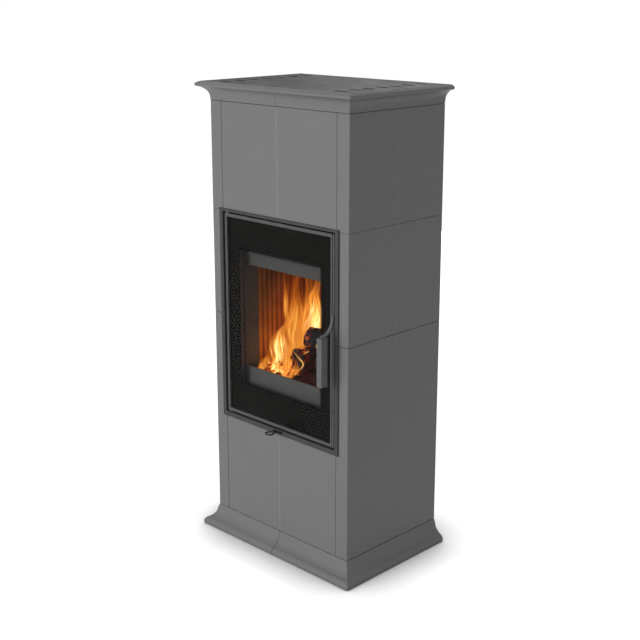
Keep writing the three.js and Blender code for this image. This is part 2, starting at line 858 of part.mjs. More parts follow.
add('firebox_shell', fireboxShell(), plainSteel);
add('mouth_frame', mouthFrame(), mouthPaint);
add('log_guard', logGuard(), mouthPaint);
addPair('lining', sideLining(), fireBrick);
const backBoard = flutedBoard(2 * liningOuter, liningHeight);
add('lining_back', backBoard, fireBrick, 0, backLiningFront, liningBottom);
add('lining_floor', liningFloor(), fireBrick);
add('grate', grate(), castIron, 0, 0, grateSeat + seatGap);
add('ash_pan', ashPan(), plainSteel);
add('baffle_lower', baffleLower(), fireBrick);
add('baffle_upper', baffleUpper(), plainSteel);
add('flue_collar', flueCollar(), darkPaint, 0, 0, flueZ);
add('blanking_cap', blankingCap(), plainSteel, 0, 0, shellTop + outletHeight + seatGap);

// ---- Air slide -----------------------------------------------------------------------

const tongueTop = shellBottom - slidePlay;
const tongueBottom = tongueTop - tongueThickness;
const eyeY = flangeFront - eyeReach;
const rodEnd = shutterFront - seatGap;

// Flat tongue with a small upward set outside the frame, ending in an eye.
function airRod() {
  const bend = flangeFront - tongueBend;
  const lapEnd = eyeY + eyeRadius;
  const lap = lapEnd - eyeLap;
  const path = outline([
    [rodEnd, tongueBottom],
    [rodEnd, tongueTop],
    [bend, tongueTop],
    [lapEnd, tongueTop + tongueRise],
    [lap, tongueTop + tongueRise],
    [lap, tongueBottom + tongueRise],
    [lapEnd, tongueBottom + tongueRise],
    [bend, tongueBottom],
  ]);
  const strip = sideways(path, -tongueWidth / 2, tongueWidth / 2);
  const low = tongueBottom + tongueRise;
  const eye = slab(disc(eyeRadius, eyeHole), low, low + tongueThickness, eyeEdge, 16);
  return carve([strip, eye.translate(0, eyeY, 0)]);
}

function airShutter() {
  const half = shutterLength / 2;
  const plate = block(-half, half, shutterFront, shutterFront + shutterLength, tongueBottom, tongueTop);
  return carve([plate], airHoles(tongueBottom - past, tongueTop + past));
}

// Folded channel under the firebox that carries the shutter.
function airGuide() {
  const inner = shutterLength / 2 + guidePlay;
  const outer = inner + guideWall;
  const y0 = shutterFront - guideFront;
  const y1 = shutterFront + shutterLength + guideBack;
  const top = shellBottom - seatGap;
  const floor = tongueBottom - seatGap;
  const channel = block(-outer, outer, y0, y1, floor - guideFloor, top);
  const track = block(-inner, inner, y0 - past, y1 + past, floor, top + past);
  return carve([channel], [track, ...airHoles(floor - guideFloor - past, floor + past)]);
}

add('air_rod', airRod(), castIron);
add('air_shutter', airShutter(), plainSteel);
add('air_guide', airGuide(), plainSteel);

// ---- Insert frame --------------------------------------------------------------------

// Flange on the tiles with the sheet metal reveal welded behind it, and a slot for the tongue.
function insertFrame() {
  const flangeHalf = openingHalf + flangeOverlap;
  const z0 = doorOpeningBottom - flangeOverlap / 2;
  const z1 = doorOpeningTop + flangeOverlap / 2;
  const inner = [-revealHalf, revealHalf, revealBottom, revealTop];
  const flangeRing = rectangleWithHole([-flangeHalf, flangeHalf, z0, z1], inner);
  const flange = standing(flangeRing, flangeFront, frontFace - seatGap, flangeBevel);
  const revealRing = rectangleWithHole(grown(inner, sheet), inner);
  const reveal = standing(revealRing, flangeFront + flangeDepth / 2, plateBack - seatGap);
  const slotHalf = tongueWidth / 2 + tongueSlotPlay;
  const [low, high] = [tongueBottom - tongueSlotDrop, tongueTop + seatGap];
  const slot = block(-slotHalf, slotHalf, flangeFront - past, frontFace, low, high);
  return carve([flange, reveal], [slot]);
}

// Pin with a washer that fills the gap between the reveal and the edge of the door.
function hingePin(wall, edge) {
  const up = Math.sign(edge - wall);
  const foot = wall + up * seatGap;
  const tip = edge + up * (rimEnd - pinTipGap);
  const shoulder = edge - up * seatGap;
  const between = (radius, a, b) => slab(disc(radius), Math.min(a, b), Math.max(a, b), 0, 8);
  const pin = between(hingePinRadius, foot, tip);
  return carve([pin, between(hingePinRadius + hingeWasher, foot, shoulder)]);
}

const hookZs = [barBottom + hookInset, barTop - hookInset];
const hookTipY = barY + barDepth / 2 + hookReach;
const keeperInner = barX + barWidth / 2 - barDepth / 5 + keeperPlay;

// Keeper on the reveal that a latch hook draws behind.
function latchKeeper() {
  const wall = revealHalf - seatGap;
  const back = hookTipY + keeperPlate;
  const lugBack = hookTipY - hookNoseLength - keeperPlay;
  const lugFront = lugBack - keeperLugDepth;
  const [high, lugHigh] = [keeperHeight / 2, keeperLugHeight / 2];
  const foot = block(wall - keeperPlate, wall, back - keeperDepth, back, -high, high);
  const lug = block(keeperInner, wall - keeperPlate / 2, lugFront, lugBack, -lugHigh, lugHigh);
  return carve([foot, lug]);
}

add('insert_frame', insertFrame(), darkPaint);
add('hinge_pin_lower', hingePin(revealBottom, doorBottom), plainSteel, hingeX, hingeY);
add('hinge_pin_upper', hingePin(revealTop, doorTop), plainSteel, hingeX, hingeY);
add('latch_keeper_lower', latchKeeper(), plainSteel, 0, 0, hookZs[0]);
add('latch_keeper_upper', latchKeeper(), plainSteel, 0, 0, hookZs[1]);

// ---- Door ----------------------------------------------------------------------------

const pocket = [-doorHalf + rimSide, rimLatchOuter - rimLatch, doorBottom + rimEnd, doorTop - rimEnd];
const ledgeHole = [-ledgeHalf, ledgeHalf, ledgeBottom, ledgeTop];

// The slim front rim, the ledge behind the glass, the seal channel and the skirt, in one weldment.
function doorFrame() {
  const whole = [-doorHalf, doorHalf, doorBottom, doorTop];
  const outer = [-doorHalf, rimLatchOuter, doorBottom, doorTop];
  const ring = (out, hole, y0, y1) => standing(rectangleWithHole(out, hole), y0, y1);
  const rim = ring(outer, pocket, doorFront, ledgeBack);
  const ledge = ring(whole, ledgeHole, ledgeFront, ledgeBack);
  const skirt = ring(outer, grown(outer, -doorSheet), ledgeFront, doorBack);
  const inner = ring(grown(ledgeHole, doorSheet), ledgeHole, ledgeFront, sealBack);
  const channelIn = grown(ledgeHole, channelWidth + doorSheet);
  const channel = ring(grown(channelIn, doorSheet), channelIn, ledgeFront, sealBack);
  const strips = [[doorBottom, barBottom - barEndGap], [barTop + barEndGap, doorTop]]
    .map(([z0, z1]) => block(doorHalf - barWidth, doorHalf, doorFront, ledgeBack, z0, z1));
  const bushEnd = rimEnd - bushGap;
  const bushes = [[doorBottom, doorBottom + bushEnd], [doorTop - bushEnd, doorTop]]
    .map(([z0, z1]) => block(-doorHalf, hingeBush - doorHalf, doorFront, ledgeBack, z0, z1));
  const pinHole = tube(hingePinRadius + hingePinPlay, 2 * (rimEnd + past), 'Z');
  const pinHoles = [doorBottom, doorTop].map((z) => pinHole.clone().translate(hingeX, hingeY, z));
  const barHole = tube(barPinRadius + hingePinPlay, 4 * barPinLength, 'Z');
  const barHoles = [barBottom, barTop].map((z) => barHole.clone().translate(barX, barY, z));
  return carve([rim, ledge, skirt, inner, channel, ...strips, ...bushes],
    [...pinHoles, ...barHoles, ...hookZs.map(hookNotch)]);
}

// Way through the ledge and the skirt for a latch hook.
function hookNotch(z) {
  const start = barY + barDepth / 2 + hookStart;
  const [low, high] = [z - hookNotchWidth / 2, z + hookNotchWidth / 2];
  return block(rimLatchOuter - hookNotchDepth, doorHalf + past, start, doorBack + past, low, high);
}

function doorGlass() {
  const pane = rectangle(...grown(pocket, -glassPlay));
  return standing(pane, glassFront, glassBack, glassEdge);
}

function glassTape() {
  const hole = grown(ledgeHole, doorSheet);
  const ring = rectangleWithHole(grown(hole, tapeWidth), hole);
  return standing(ring, glassBack + seatGap, ledgeFront - seatGap);
}

function doorRope() {
  const hole = grown(ledgeHole, doorSheet + ropePlay);
  const outer = grown(ledgeHole, channelWidth + doorSheet - ropePlay);
  return standing(rectangleWithHole(outer, hole), ledgeBack + seatGap, sealBack, ropeEdge);
}

add('door_frame', doorFrame(), rimPaint);
add('door_glass', doorGlass(), blackGlass);
add('glass_tape', glassTape(), sealRope);
add('door_rope', doorRope(), sealRope);

// ---- Closing bar and handle ----------------------------------------------------------

// Outline of a hooked tongue behind the bar, thin in the middle where it passes the keeper.
function hookPlan() {
  const start = barDepth / 2 - past;
  const end = barDepth / 2 + hookReach;
  const root = barWidth / 3;
  const waist = -root / 2;
  const nose = hookNose + waist;
  return outline([
    [-root, start],
    [root, start],
    [root, start + hookNoseLength],
    [waist, start + 1.5 * hookNoseLength],
    [waist, end - 1.35 * hookNoseLength],
    [nose, end - hookNoseLength],
    [nose, end],
    [waist - hookNose, end],
    [waist - 1.3 * hookNose, end - hookNoseLength],
    [waist - 1.3 * hookNose, start + 1.3 * hookNoseLength],
  ]);
}

// Upright bar on two end pins, with a latch hook welded on near each end.
function closingBar() {
  const half = barWidth / 2;
  const plan = rectangle(-half, half, -barDepth / 2, barDepth / 2);
  const bar = slab(plan, barBottom, barTop, barEdge);
  const pin = tube(barPinRadius, 2 * barPinLength, 'Z');
  const pins = [barBottom, barTop].map((z) => pin.clone().translate(0, 0, z));
  const hooks = hookZs.map((z) => slab(hookPlan(), z - hookThickness / 2, z + hookThickness / 2));
  return carve([bar, ...pins, ...hooks]);
}

// A strip that leaves the bar upright, sweeps forwards in a quarter bend and widens to the grip.
function handleNeck() {
  const startY = -barDepth / 2 - seatGap - neckThickness / 2;
  const endY = gripFront - barY + gripDepth * 0.45;
  const drop = neckTop - gripTop - neckThickness / 2 - seatGap;
  const bend = new THREE.EllipseCurve(endY, neckTop, startY - endY, drop, 0, -Math.PI / 2, true);
  const steps = 10;
  const profile = [[-1, -1], [1, -1], [1, 1], [-1, 1]];
  const sections = [];
  for (let i = 0; i <= steps; i += 1) {
    const t = i / steps;
    const point = bend.getPoint(t);
    const along = bend.getTangent(t);
    const half = (barWidth + (neckFlare - barWidth) * t ** 1.5) / 2;
    const [ny, nz] = [along.y * neckThickness / 2, -along.x * neckThickness / 2];
    const corner = ([across, out]) => [across * half, point.x + out * ny, point.y + out * nz];
    sections.push(profile.map(corner));
  }
  return loft(profile, sections);
}

function handleGrip() {
  const y0 = gripFront - barY;
  const plan = rectangle(-gripWidth / 2, gripWidth / 2, y0, y0 + gripDepth);
  return slab(plan, gripTop - gripLength, gripTop, gripEdge);
}

add('closing_bar', closingBar(), rimPaint, barX, barY);
add('handle_neck', handleNeck(), gripPaint, barX, barY);
add('handle_grip', handleGrip(), gripPaint, barX, barY);

// ---- Fire ----------------------------------------------------------------------------

// A split log that lies along X: a cylinder flattened and roughened by a few waves.
function logBody(length, radius, turn) {
  const body = new THREE.CylinderGeometry(radius * 0.86, radius, length, 14, 5);
  const corners = body.attributes.position;
  for (let i = 0; i < corners.count; i += 1) {
    const [x, y, z] = [corners.getX(i), corners.getY(i), corners.getZ(i)];
    const angle = Math.atan2(z, x) + turn;
    const swell = 0.9 + 0.07 * Math.cos(3 * angle) + 0.03 * Math.sin(5 * angle + 6 * y / length);
    corners.setXYZ(i, x * swell, y, z * swell);
  }
  return body.rotateZ(Math.PI / 2);
}

const emberBottom = hearthZ + seatGap;
const emberFront = mouthFront + mouthPlate + emberSetback;
const emberDepth = backLiningFront - emberBackGap - emberFront;
const logBed = emberBottom + 0.85 * emberHeight;
const logFront = emberFront + logFrontGap;
const logBack = backLiningFront - logBackGap;
const logLength = logBack - logFront;
const logMiddle = (logFront + logBack) / 2;
const logRightX = fireHalf - logSideGap;
const logLeftX = logRightX - logSpread;
const rightRadius = 1.06 * logRadius;
const topRadius = 0.88 * logRadius;
const topRest = logBed + 2 * logRadius + 0.64 * topRadius;
const logs = [
  {
    name: 'log_left',
    length: logLength,
    radius: logRadius,
    turn: 0.4,
    place: [logLeftX, logMiddle, logBed + logRadius],
    yaw: Math.PI / 2 - 0.12,
    lean: 0,
  },
  {
    name: 'log_right',
    length: logLength,
    radius: rightRadius,
    turn: 1.7,
    place: [logRightX, logMiddle, logBed + rightRadius],
    yaw: Math.PI / 2 + 0.14,
    lean: 0,
  },
  {
    name: 'log_top',
    length: topLogLength,
    radius: topRadius,
    turn: 2.9,
    place: [logRightX - 0.2 * logSpread, logFront + 1.3 * logRadius, topRest],
    yaw: 0.1,
    lean: -0.055,
  },
];

function laidLog({ length, radius, turn, place, yaw, lean }, play = 0) {
  const body = logBody(length + 2 * play, radius + play, turn);
  return body.rotateY(lean).rotateZ(yaw).translate(...place);
}

// Heap of embers that the two lower logs lie in.
function emberBed() {
  const half = fireHalf - emberSideGap;
  const bed = new THREE.BoxGeometry(2 * half, emberDepth, emberHeight, 16, 10, 1);
  const corners = bed.attributes.position;
  for (let i = 0; i < corners.count; i += 1) {
    if (corners.getZ(i) < 0) {
      continue;
    }
    const [x, y] = [corners.getX(i), corners.getY(i)];
    const lumps = 0.12 * emberHeight * (Math.sin(x / 15 + y / 22) + Math.cos(x / 11 - y / 17));
    const fall = 1 - 0.45 * (2 * Math.abs(y) / emberDepth) ** 4;
    corners.setZ(i, (emberHeight / 2 + lumps) * fall - emberHeight * (1 - fall) / 2);
  }
  bed.translate(0, emberFront + emberDepth / 2, emberBottom + emberHeight / 2);
  return carve([bed], [laidLog(logs[0], logPlay), laidLog(logs[1], logPlay)]);
}

for (const log of logs) {
  add(log.name, laidLog(log), charredWood);
}
add('ember_bed', emberBed(), glowingEmber);

export default stove;
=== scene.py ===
# %% [markdown]
# # A tiled wood stove, dressed in Blender
# The stove is a steel firebox behind a skin of glazed tiles, with a moulding at the foot and another
# at the top. Its measured solids come from CAD and are not changed here. This notebook gives them
# their finishes, and makes again, in more detail, the pieces whose form is too fine for CAD: the
# mouldings, the printed glass, the fluted fire lining, the wood and the fire.

# %% Load the stove's frame
import math
import random

import bmesh
import bpy
from mathutils import Matrix, Vector, noise


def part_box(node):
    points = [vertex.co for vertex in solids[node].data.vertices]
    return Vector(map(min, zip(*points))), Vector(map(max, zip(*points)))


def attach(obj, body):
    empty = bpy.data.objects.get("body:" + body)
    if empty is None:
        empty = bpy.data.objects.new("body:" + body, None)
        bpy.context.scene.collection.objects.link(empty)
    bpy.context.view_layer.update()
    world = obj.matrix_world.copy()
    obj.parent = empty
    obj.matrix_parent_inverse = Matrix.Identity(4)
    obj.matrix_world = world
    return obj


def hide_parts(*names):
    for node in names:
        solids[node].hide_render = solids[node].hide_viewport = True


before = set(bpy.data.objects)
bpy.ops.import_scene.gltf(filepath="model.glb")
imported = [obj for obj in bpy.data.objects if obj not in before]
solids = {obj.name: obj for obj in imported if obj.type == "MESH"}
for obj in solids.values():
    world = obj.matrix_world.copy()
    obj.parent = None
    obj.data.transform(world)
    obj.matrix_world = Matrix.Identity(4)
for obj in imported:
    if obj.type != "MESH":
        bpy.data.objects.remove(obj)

scene = bpy.context.scene
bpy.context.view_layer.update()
MM = 0.001

# %% [markdown]
# ## The camera
# The picture was taken from the front right, a little above the lid. The camera could be aimed by
# eye, but here its place comes from the corners of the tiled body, which were matched to the
# picture by least squares. The small shift moves the stove down in the frame without tilting it.

# %% Camera
camera_place = (2.238, -2.3047, 1.5876)
camera_turn = math.radians(44.455)
camera_rise = math.radians(14.563)

lens = bpy.data.cameras.new("view")
lens.sensor_width = 36
lens.lens = 65.43
lens.shift_y = -0.05
camera = bpy.data.objects.new("view", lens)
scene.collection.objects.link(camera)
camera.location = camera_place
look = -Vector((
    math.sin(camera_turn) * math.cos(camera_rise),
    -math.cos(camera_turn) * math.cos(camera_rise),
    math.sin(camera_rise),
))
camera.rotation_euler = look.to_track_quat("-Z", "Y").to_euler()
scene.camera = camera
print("camera looks along", [round(v, 3) for v in look])

# %% [markdown]
# ## Helpers for node materials
# Every finish below is a small tree of nodes. Building trees by hand takes many lines, so short
# helpers add a node with its inputs, mix two colours, spread a grey value over a range, and take
# the other small steps that come back in every finish.

# %% Node helpers
def add_node(tree, kind, inputs=None, **options):
    """Adds a node, sets its options, and fills or links its inputs."""
    made = tree.nodes.new(kind)
    for option, value in options.items():
        setattr(made, option, value)
    for label, value in (inputs or {}).items():
        if isinstance(value, bpy.types.NodeSocket):
            tree.links.new(value, made.inputs[label])
        else:
            made.inputs[label].default_value = value
    return made


def mix_colours(tree, factor, first, second):
    """Returns the colour between two colours, by a grey factor."""
    sockets = {0: factor, 6: first, 7: second}
    return add_node(tree, "ShaderNodeMix", sockets, data_type="RGBA").outputs[2]


def spread(tree, value, low, high, to_low=0.0, to_high=1.0, smooth=False):
    """Maps a grey value from one range to another, held at both ends."""
    kind = "SMOOTHSTEP" if smooth else "LINEAR"
    limits = {"From Min": low, "From Max": high, "To Min": to_low, "To Max": to_high}
    return add_node(
        tree, "ShaderNodeMapRange", {"Value": value, **limits}, interpolation_type=kind
    ).outputs[0]


def maths(tree, operation, first, second=0.0):
    """Returns one sum, difference, power or the like of two grey values."""
    return add_node(tree, "ShaderNodeMath", {0: first, 1: second}, operation=operation).outputs[0]


def solid_place(tree):
    """The place on a piece, in metres, which at rest is its place in the stove's frame."""
    return add_node(tree, "ShaderNodeTexCoord").outputs["Object"]


def product(tree, first, *others):
    """Returns grey values multiplied together."""
    for other in others:
        first = maths(tree, "MULTIPLY", first, other)
    return first


def noise_at(tree, place, per_metre, detail):
    """Cloudy grey value with so many clouds to the metre."""
    inputs = {"Vector": place, "Scale": per_metre, "Detail": detail}
    return add_node(tree, "ShaderNodeTexNoise", inputs).outputs[0]


def stretched(tree, place, stretch):
    """The place squeezed along some axes, which draws a pattern out along them."""
    return add_node(tree, "ShaderNodeMapping", {"Vector": place, "Scale": stretch}).outputs[0]


def new_group(name, inputs, colours=(), values=()):
    """An empty shader node group that gives out colours and values, and its two ends."""
    group = bpy.data.node_groups.new(name, "ShaderNodeTree")
    for label, value in inputs.items():
        kind = "NodeSocketFloat" if isinstance(value, float) else "NodeSocketColor"
        group.interface.new_socket(label, in_out="INPUT", socket_type=kind).default_value = value
    for kind, labels in (("NodeSocketColor", colours), ("NodeSocketFloat", values)):
        for label in labels:
            group.interface.new_socket(label, in_out="OUTPUT", socket_type=kind)
    entry = group.nodes.new("NodeGroupInput").outputs
    return group, entry, group.nodes.new("NodeGroupOutput")


def new_finish(name, plain):
    """A material with its plain values set on the shader's own sockets."""
    material = bpy.data.materials.new(name)
    material.use_nodes = True
    shader = material.node_tree.nodes["Principled BSDF"]
    for label, value in plain.items():
        shader.inputs[label].default_value = value
    return material, material.node_tree, shader


def part_of(tree, vector, axis):
    """One coordinate of a vector."""
    return add_node(tree, "ShaderNodeSeparateXYZ", {"Vector": vector}).outputs[axis]


def use_group(tree, group, inputs):
    """Places a node group with its own values, and returns what it gives out."""
    return add_node(tree, "ShaderNodeGroup", inputs, node_tree=group).outputs


def feed(tree, node, links):
    """Links changing values to the sockets of a shader, or of a group's end, by name."""
    for label, value in links.items():
        tree.links.new(value, node.inputs[label])


def raise_surface(tree, shader, height, depth):
    """Turns the shader's normal by a height that spans so many metres of depth."""
    inputs = {"Height": height, "Distance": depth, "Strength": 1.0}
    feed(tree, shader, {"Normal": add_node(tree, "ShaderNodeBump", inputs).outputs[0]})


def grey(value, warm=0.0):
    """A linear grey, turned slightly warm or cold."""
    return (value * (1 + warm), value, value * (1 - warm), 1.0)


print("helpers ready")

# %% [markdown]
# ## Shared effects
# Four effects come back in many finishes, so each is a node group, built once: a cloudy change of
# colour, fine grains that stand up from the surface, soot that has settled in clouds, and lines
# drawn out by a rolling mill or a brush. Groups give out colours and heights only. The shader stays
# in each material, where an export can read it.

# %% Node groups
flecks_per_cloud = 23.0
swells_per_grain = 0.12
soot_softness = 0.28
rolling_stretch = (1.0, 1.0, 0.04)

cloudy, entry, leave = new_group(
    "cloudy colour",
    {"Colour": grey(0.5), "Cloud colour": grey(0.4), "Clouds per metre": 20.0, "Fleck": 0.2},
    colours=["Colour"], values=["Cloud"],
)
tree = cloudy
place = solid_place(tree)
clouds = spread(tree, noise_at(tree, place, entry["Clouds per metre"], 3.0), 0.3, 0.7)
flecks_per_metre = product(tree, entry["Clouds per metre"], flecks_per_cloud)
flecks = spread(tree, noise_at(tree, place, flecks_per_metre, 1.0), 0.35, 0.75)
tinted = mix_colours(tree, clouds, entry["Colour"], entry["Cloud colour"])
flecked = mix_colours(tree, product(tree, flecks, entry["Fleck"]), tinted, entry["Cloud colour"])
feed(tree, leave, {"Colour": flecked, "Cloud": clouds})

grains, entry, leave = new_group(
    "fine grains", {"Grains per metre": 400.0, "Swell": 0.3}, values=["Height"]
)
tree = grains
place = solid_place(tree)
fine = noise_at(tree, place, entry["Grains per metre"], 1.0)
swells_per_metre = product(tree, entry["Grains per metre"], swells_per_grain)
swell = product(tree, noise_at(tree, place, swells_per_metre, 1.0), entry["Swell"])
feed(tree, leave, {"Height": maths(tree, "ADD", fine, swell)})

sooty, entry, leave = new_group(
    "settled soot",
    {"Colour": grey(0.5), "Soot colour": grey(0.02), "Soot": 0.5, "Patches per metre": 9.0},
    colours=["Colour"], values=["Soot"],
)
tree = sooty
patches = noise_at(tree, solid_place(tree), entry["Patches per metre"], 5.0)
edge = maths(tree, "SUBTRACT", 1.0, entry["Soot"])
edges = [maths(tree, way, edge, soot_softness) for way in ("SUBTRACT", "ADD")]
soot = spread(tree, patches, *edges)
stained = mix_colours(tree, soot, entry["Colour"], entry["Soot colour"])
feed(tree, leave, {"Colour": stained, "Soot": soot})

drawn, entry, leave = new_group("drawn lines", {"Lines per metre": 900.0}, values=["Line"])
tree = drawn
lines_place = stretched(tree, solid_place(tree), rolling_stretch)
feed(tree, leave, {"Line": noise_at(tree, lines_place, entry["Lines per metre"], 2.0)})
print("node groups:", [g.name for g in bpy.data.node_groups])

# %% [markdown]
# ## Glaze, paint and metal
# The tiles wear a grey satin glaze. A real glaze pools and thins, so its grey drifts a little over
# each tile, and its face has a shallow orange peel. The steel parts are sprayed with stove paint,
# which dries as a fine, dull grain. The walls of the air slots in the top plate get painted shade:
# below the plate's face their colour is painted near black, so they look dark. One function makes
# each kind from a few plain values, because the same paint comes in several greys.

# %% Glaze and paint
def clouded(tree, colour, cloud_colour, per_metre, fleck):
    """The cloudy colour, and the clouds themselves, with a finish's own values."""
    colours = {"Colour": colour, "Cloud colour": cloud_colour}
    made = use_group(tree, cloudy, {**colours, "Clouds per metre": per_metre, "Fleck": fleck})
    return made["Colour"], made["Cloud"]


def grained(tree, shader, per_metre, swell, depth):
    """Raises fine grains on a finish."""
    made = use_group(tree, grains, {"Grains per metre": per_metre, "Swell": swell})
    raise_surface(tree, shader, made["Height"], depth)


def glazed(name, colour, cloud_colour):
    """Satin glaze: cloudy grey over a shallow orange peel."""
    finish, tree, shader = new_finish(
        name, {"Roughness": 0.42, "Specular IOR Level": 0.25, "Coat Roughness": 0.2}
    )
    tint, cloud = clouded(tree, colour, cloud_colour, per_metre=11.0, fleck=0.5)
    coat = spread(tree, cloud, 0.0, 1.0, 0.03, 0.1)
    feed(tree, shader, {"Base Color": tint, "Coat Weight": coat})
    grained(tree, shader, per_metre=240.0, swell=1.2, depth=0.25 * MM)
    return finish


def painted(name, colour, cloud_colour, grain=900.0, shine=0.3, shade_below_height=0):
    """Stove paint: fine dull grain, polished in clouds, with painted shade below a face's height."""
    finish, tree, shader = new_finish(name, {"Specular IOR Level": shine})
    tint, cloud = clouded(tree, colour, cloud_colour, per_metre=26.0, fleck=0.5)
    # painted shade: below the face, the slot walls are painted near black
    if shade_below_height:
        height = part_of(tree, solid_place(tree), "Z")
        low, high = shade_below_height - 0.4 * MM, shade_below_height - 0.1 * MM
        tint = mix_colours(tree, spread(tree, height, low, high, 1.0, 0.0), tint, grey(0.008))
    feed(tree, shader, {"Base Color": tint, "Roughness": spread(tree, cloud, 0.0, 1.0, 0.5, 0.62)})
    grained(tree, shader, per_metre=grain, swell=0.2, depth=0.12 * MM)
    return finish


def rolled(name, colour, cloud_colour, smooth, dull):
    """Bare sheet: metal with faint rolling lines and cloudy oxide."""
    finish, tree, shader = new_finish(name, {"Metallic": 0.8})
    tint, cloud = clouded(tree, colour, cloud_colour, per_metre=40.0, fleck=0.6)
    feed(tree, shader, {"Base Color": tint, "Roughness": spread(tree, cloud, 0.0, 1.0, smooth, dull)})
    line = use_group(tree, drawn, {"Lines per metre": 700.0})
    raise_surface(tree, shader, line["Line"], 0.05 * MM)
    return finish


top_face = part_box("top_plate")[1].z
finishes = {
    "glaze": glazed("satin grey glaze", grey(0.212), grey(0.198)),
    "top_paint": painted(
        "top plate paint", grey(0.17), grey(0.155), grain=1100.0, shine=0.035, shade_below_height=top_face
    ),
    "dark_paint": painted("dark stove paint", grey(0.052), grey(0.044)),
    "rim_paint": painted("door rim paint", grey(0.1), grey(0.085)),
    "grip_paint": painted("handle paint", grey(0.16), grey(0.14), grain=1300.0, shine=0.25),
    "mouth_paint": painted("firebox mouth paint", grey(0.074, 0.05), grey(0.064, 0.05), shine=0.2),
    "plain_steel": rolled("oily steel sheet", grey(0.22), grey(0.13, 0.06), 0.45, 0.6),
    "zinc_sheet": rolled("zinc coated sheet", grey(0.36, -0.02), grey(0.27, -0.02), 0.38, 0.55),
}
print("finishes:", sorted(finishes))

# %% [markdown]
# Cast iron is rough from the sand of its mould. The fire lining is pressed from fine stone grains:
# pale where it is clean, browned by the heat and sooted in clouds. The rope seal is braided from
# glass yarn, which two crossed sets of waves imitate, since a modelled yarn would be finer than a
# pixel. Black enamel is printed on the inside of the glass.

# %% Iron, brick, rope and glass
def cast_iron():
    finish, tree, shader = new_finish("cast iron", {"Specular IOR Level": 0.35})
    tint, cloud = clouded(tree, grey(0.05), grey(0.028, 0.08), per_metre=60.0, fleck=0.8)
    feed(tree, shader, {"Base Color": tint, "Roughness": spread(tree, cloud, 0.0, 1.0, 0.55, 0.75)})
    grained(tree, shader, per_metre=700.0, swell=0.8, depth=0.4 * MM)
    return finish


def fire_brick(name, ribbed):
    """Pressed lining board, sooted in clouds and, where it is ribbed, dark in its grooves."""
    finish, tree, shader = new_finish(name, {"Specular IOR Level": 0.1})
    pale, browned = (0.7, 0.25, 0.035, 1), (0.54, 0.17, 0.022, 1)
    stained = use_group(tree, sooty, {
        "Colour": clouded(tree, pale, browned, per_metre=22.0, fleck=0.8)[0],
        "Soot colour": (0.03, 0.02, 0.016, 1), "Soot": 0.36, "Patches per metre": 8.0,
    })
    colour = stained["Colour"]
    if ribbed:
        crest = part_of(tree, add_node(tree, "ShaderNodeUVMap", uv_map="rib").outputs[0], "X")
        groove = spread(tree, crest, 0.2, 0.8, 0.6, 0.0)
        colour = mix_colours(tree, groove, colour, (0.06, 0.02, 0.008, 1))
    rough = spread(tree, stained["Soot"], 0.0, 1.0, 0.85, 0.95)
    feed(tree, shader, {"Base Color": colour, "Roughness": rough})
    grained(tree, shader, per_metre=500.0, swell=0.5, depth=0.5 * MM)
    return finish


def braided_rope():
    finish, tree, shader = new_finish("braided seal", {"Specular IOR Level": 0.2})
    place = solid_place(tree)
    strands = []
    for slant in ((1.0, 1.0, 1.0), (1.0, 1.0, -1.0)):
        inputs = {"Vector": stretched(tree, place, slant), "Scale": 60.0, "Distortion": 0.6}
        options = {"wave_type": "BANDS", "bands_direction": "DIAGONAL"}
        strands.append(add_node(tree, "ShaderNodeTexWave", inputs, **options).outputs["Fac"])
    braid = maths(tree, "MAXIMUM", *strands)
    colour = mix_colours(tree, braid, grey(0.06), grey(0.16, 0.04))
    feed(tree, shader, {"Base Color": colour, "Roughness": spread(tree, braid, 0.0, 1.0, 0.95, 0.8)})
    raise_surface(tree, shader, braid, 0.8 * MM)
    return finish


def black_enamel(window_lo, window_hi, fade):
    """Print on the glass: solid at the rim, with a soft edge round the clear window."""
    finish, tree, shader = new_finish(
        "black enamel print", {"Roughness": 0.3, "Specular IOR Level": 0.02}
    )
    place = solid_place(tree)
    shares = []
    for axis, low, high in (("X", window_lo.x, window_hi.x), ("Z", window_lo.z, window_hi.z)):
        along = part_of(tree, place, axis)
        before = spread(tree, along, low, low - fade, smooth=True)
        after = spread(tree, along, high, high + fade, smooth=True)
        shares.append(maths(tree, "MAXIMUM", before, after))
    tint = clouded(
        tree, (0.0072, 0.0064, 0.005, 1), (0.0055, 0.005, 0.004, 1), per_metre=5.0, fleck=0.1
    )[0]
    feed(tree, shader, {"Base Color": tint, "Alpha": maths(tree, "MAXIMUM", *shares)})
    return finish


def clear_glass():
    """Ceramic glass: slightly brown, with a breath of fly ash on it."""
    finish, tree, shader = new_finish("ceramic glass", {
        "Roughness": 0.06, "Specular IOR Level": 0.5, "Metallic": 0.0, "Transmission Weight": 0.0,
    })
    haze, cloud = clouded(tree, grey(0.008, 0.1), grey(0.03, 0.05), per_metre=5.0, fleck=0.1)
    feed(tree, shader, {"Base Color": haze, "Alpha": spread(tree, cloud, 0.0, 1.0, 0.035, 0.06)})
    return finish


finishes["cast_iron"] = cast_iron()
finishes["fire_brick"] = fire_brick("fire lining board", False)
ribbed_brick = fire_brick("ribbed lining board", True)
finishes["seal_rope"] = braided_rope()
print("finishes:", len(finishes))

# %% [markdown]
# ## Burning wood and embers
# Charred wood splits into small blocks, and the fire glows in the cracks between them. A texture
# of cells gives such blocks: the distance to a cell's edge is the height of the char, and the low
# places glow. The glow is an emission colour that is black on the blocks, so the strength stays a
# plain number. The logs and the embers share this effect, each with its own values, so it is a node
# group too. The fire is hottest on the left, and the wood behind the handle glows only faintly.

# %% Cracked char
block_stretch = (1.0, 0.55, 1.0)
hot_softness = 0.02
dark_red, red, orange = (0.02, 0.001, 0.0, 1), (0.14, 0.01, 0.002, 1), (0.9, 0.18, 0.02, 1)

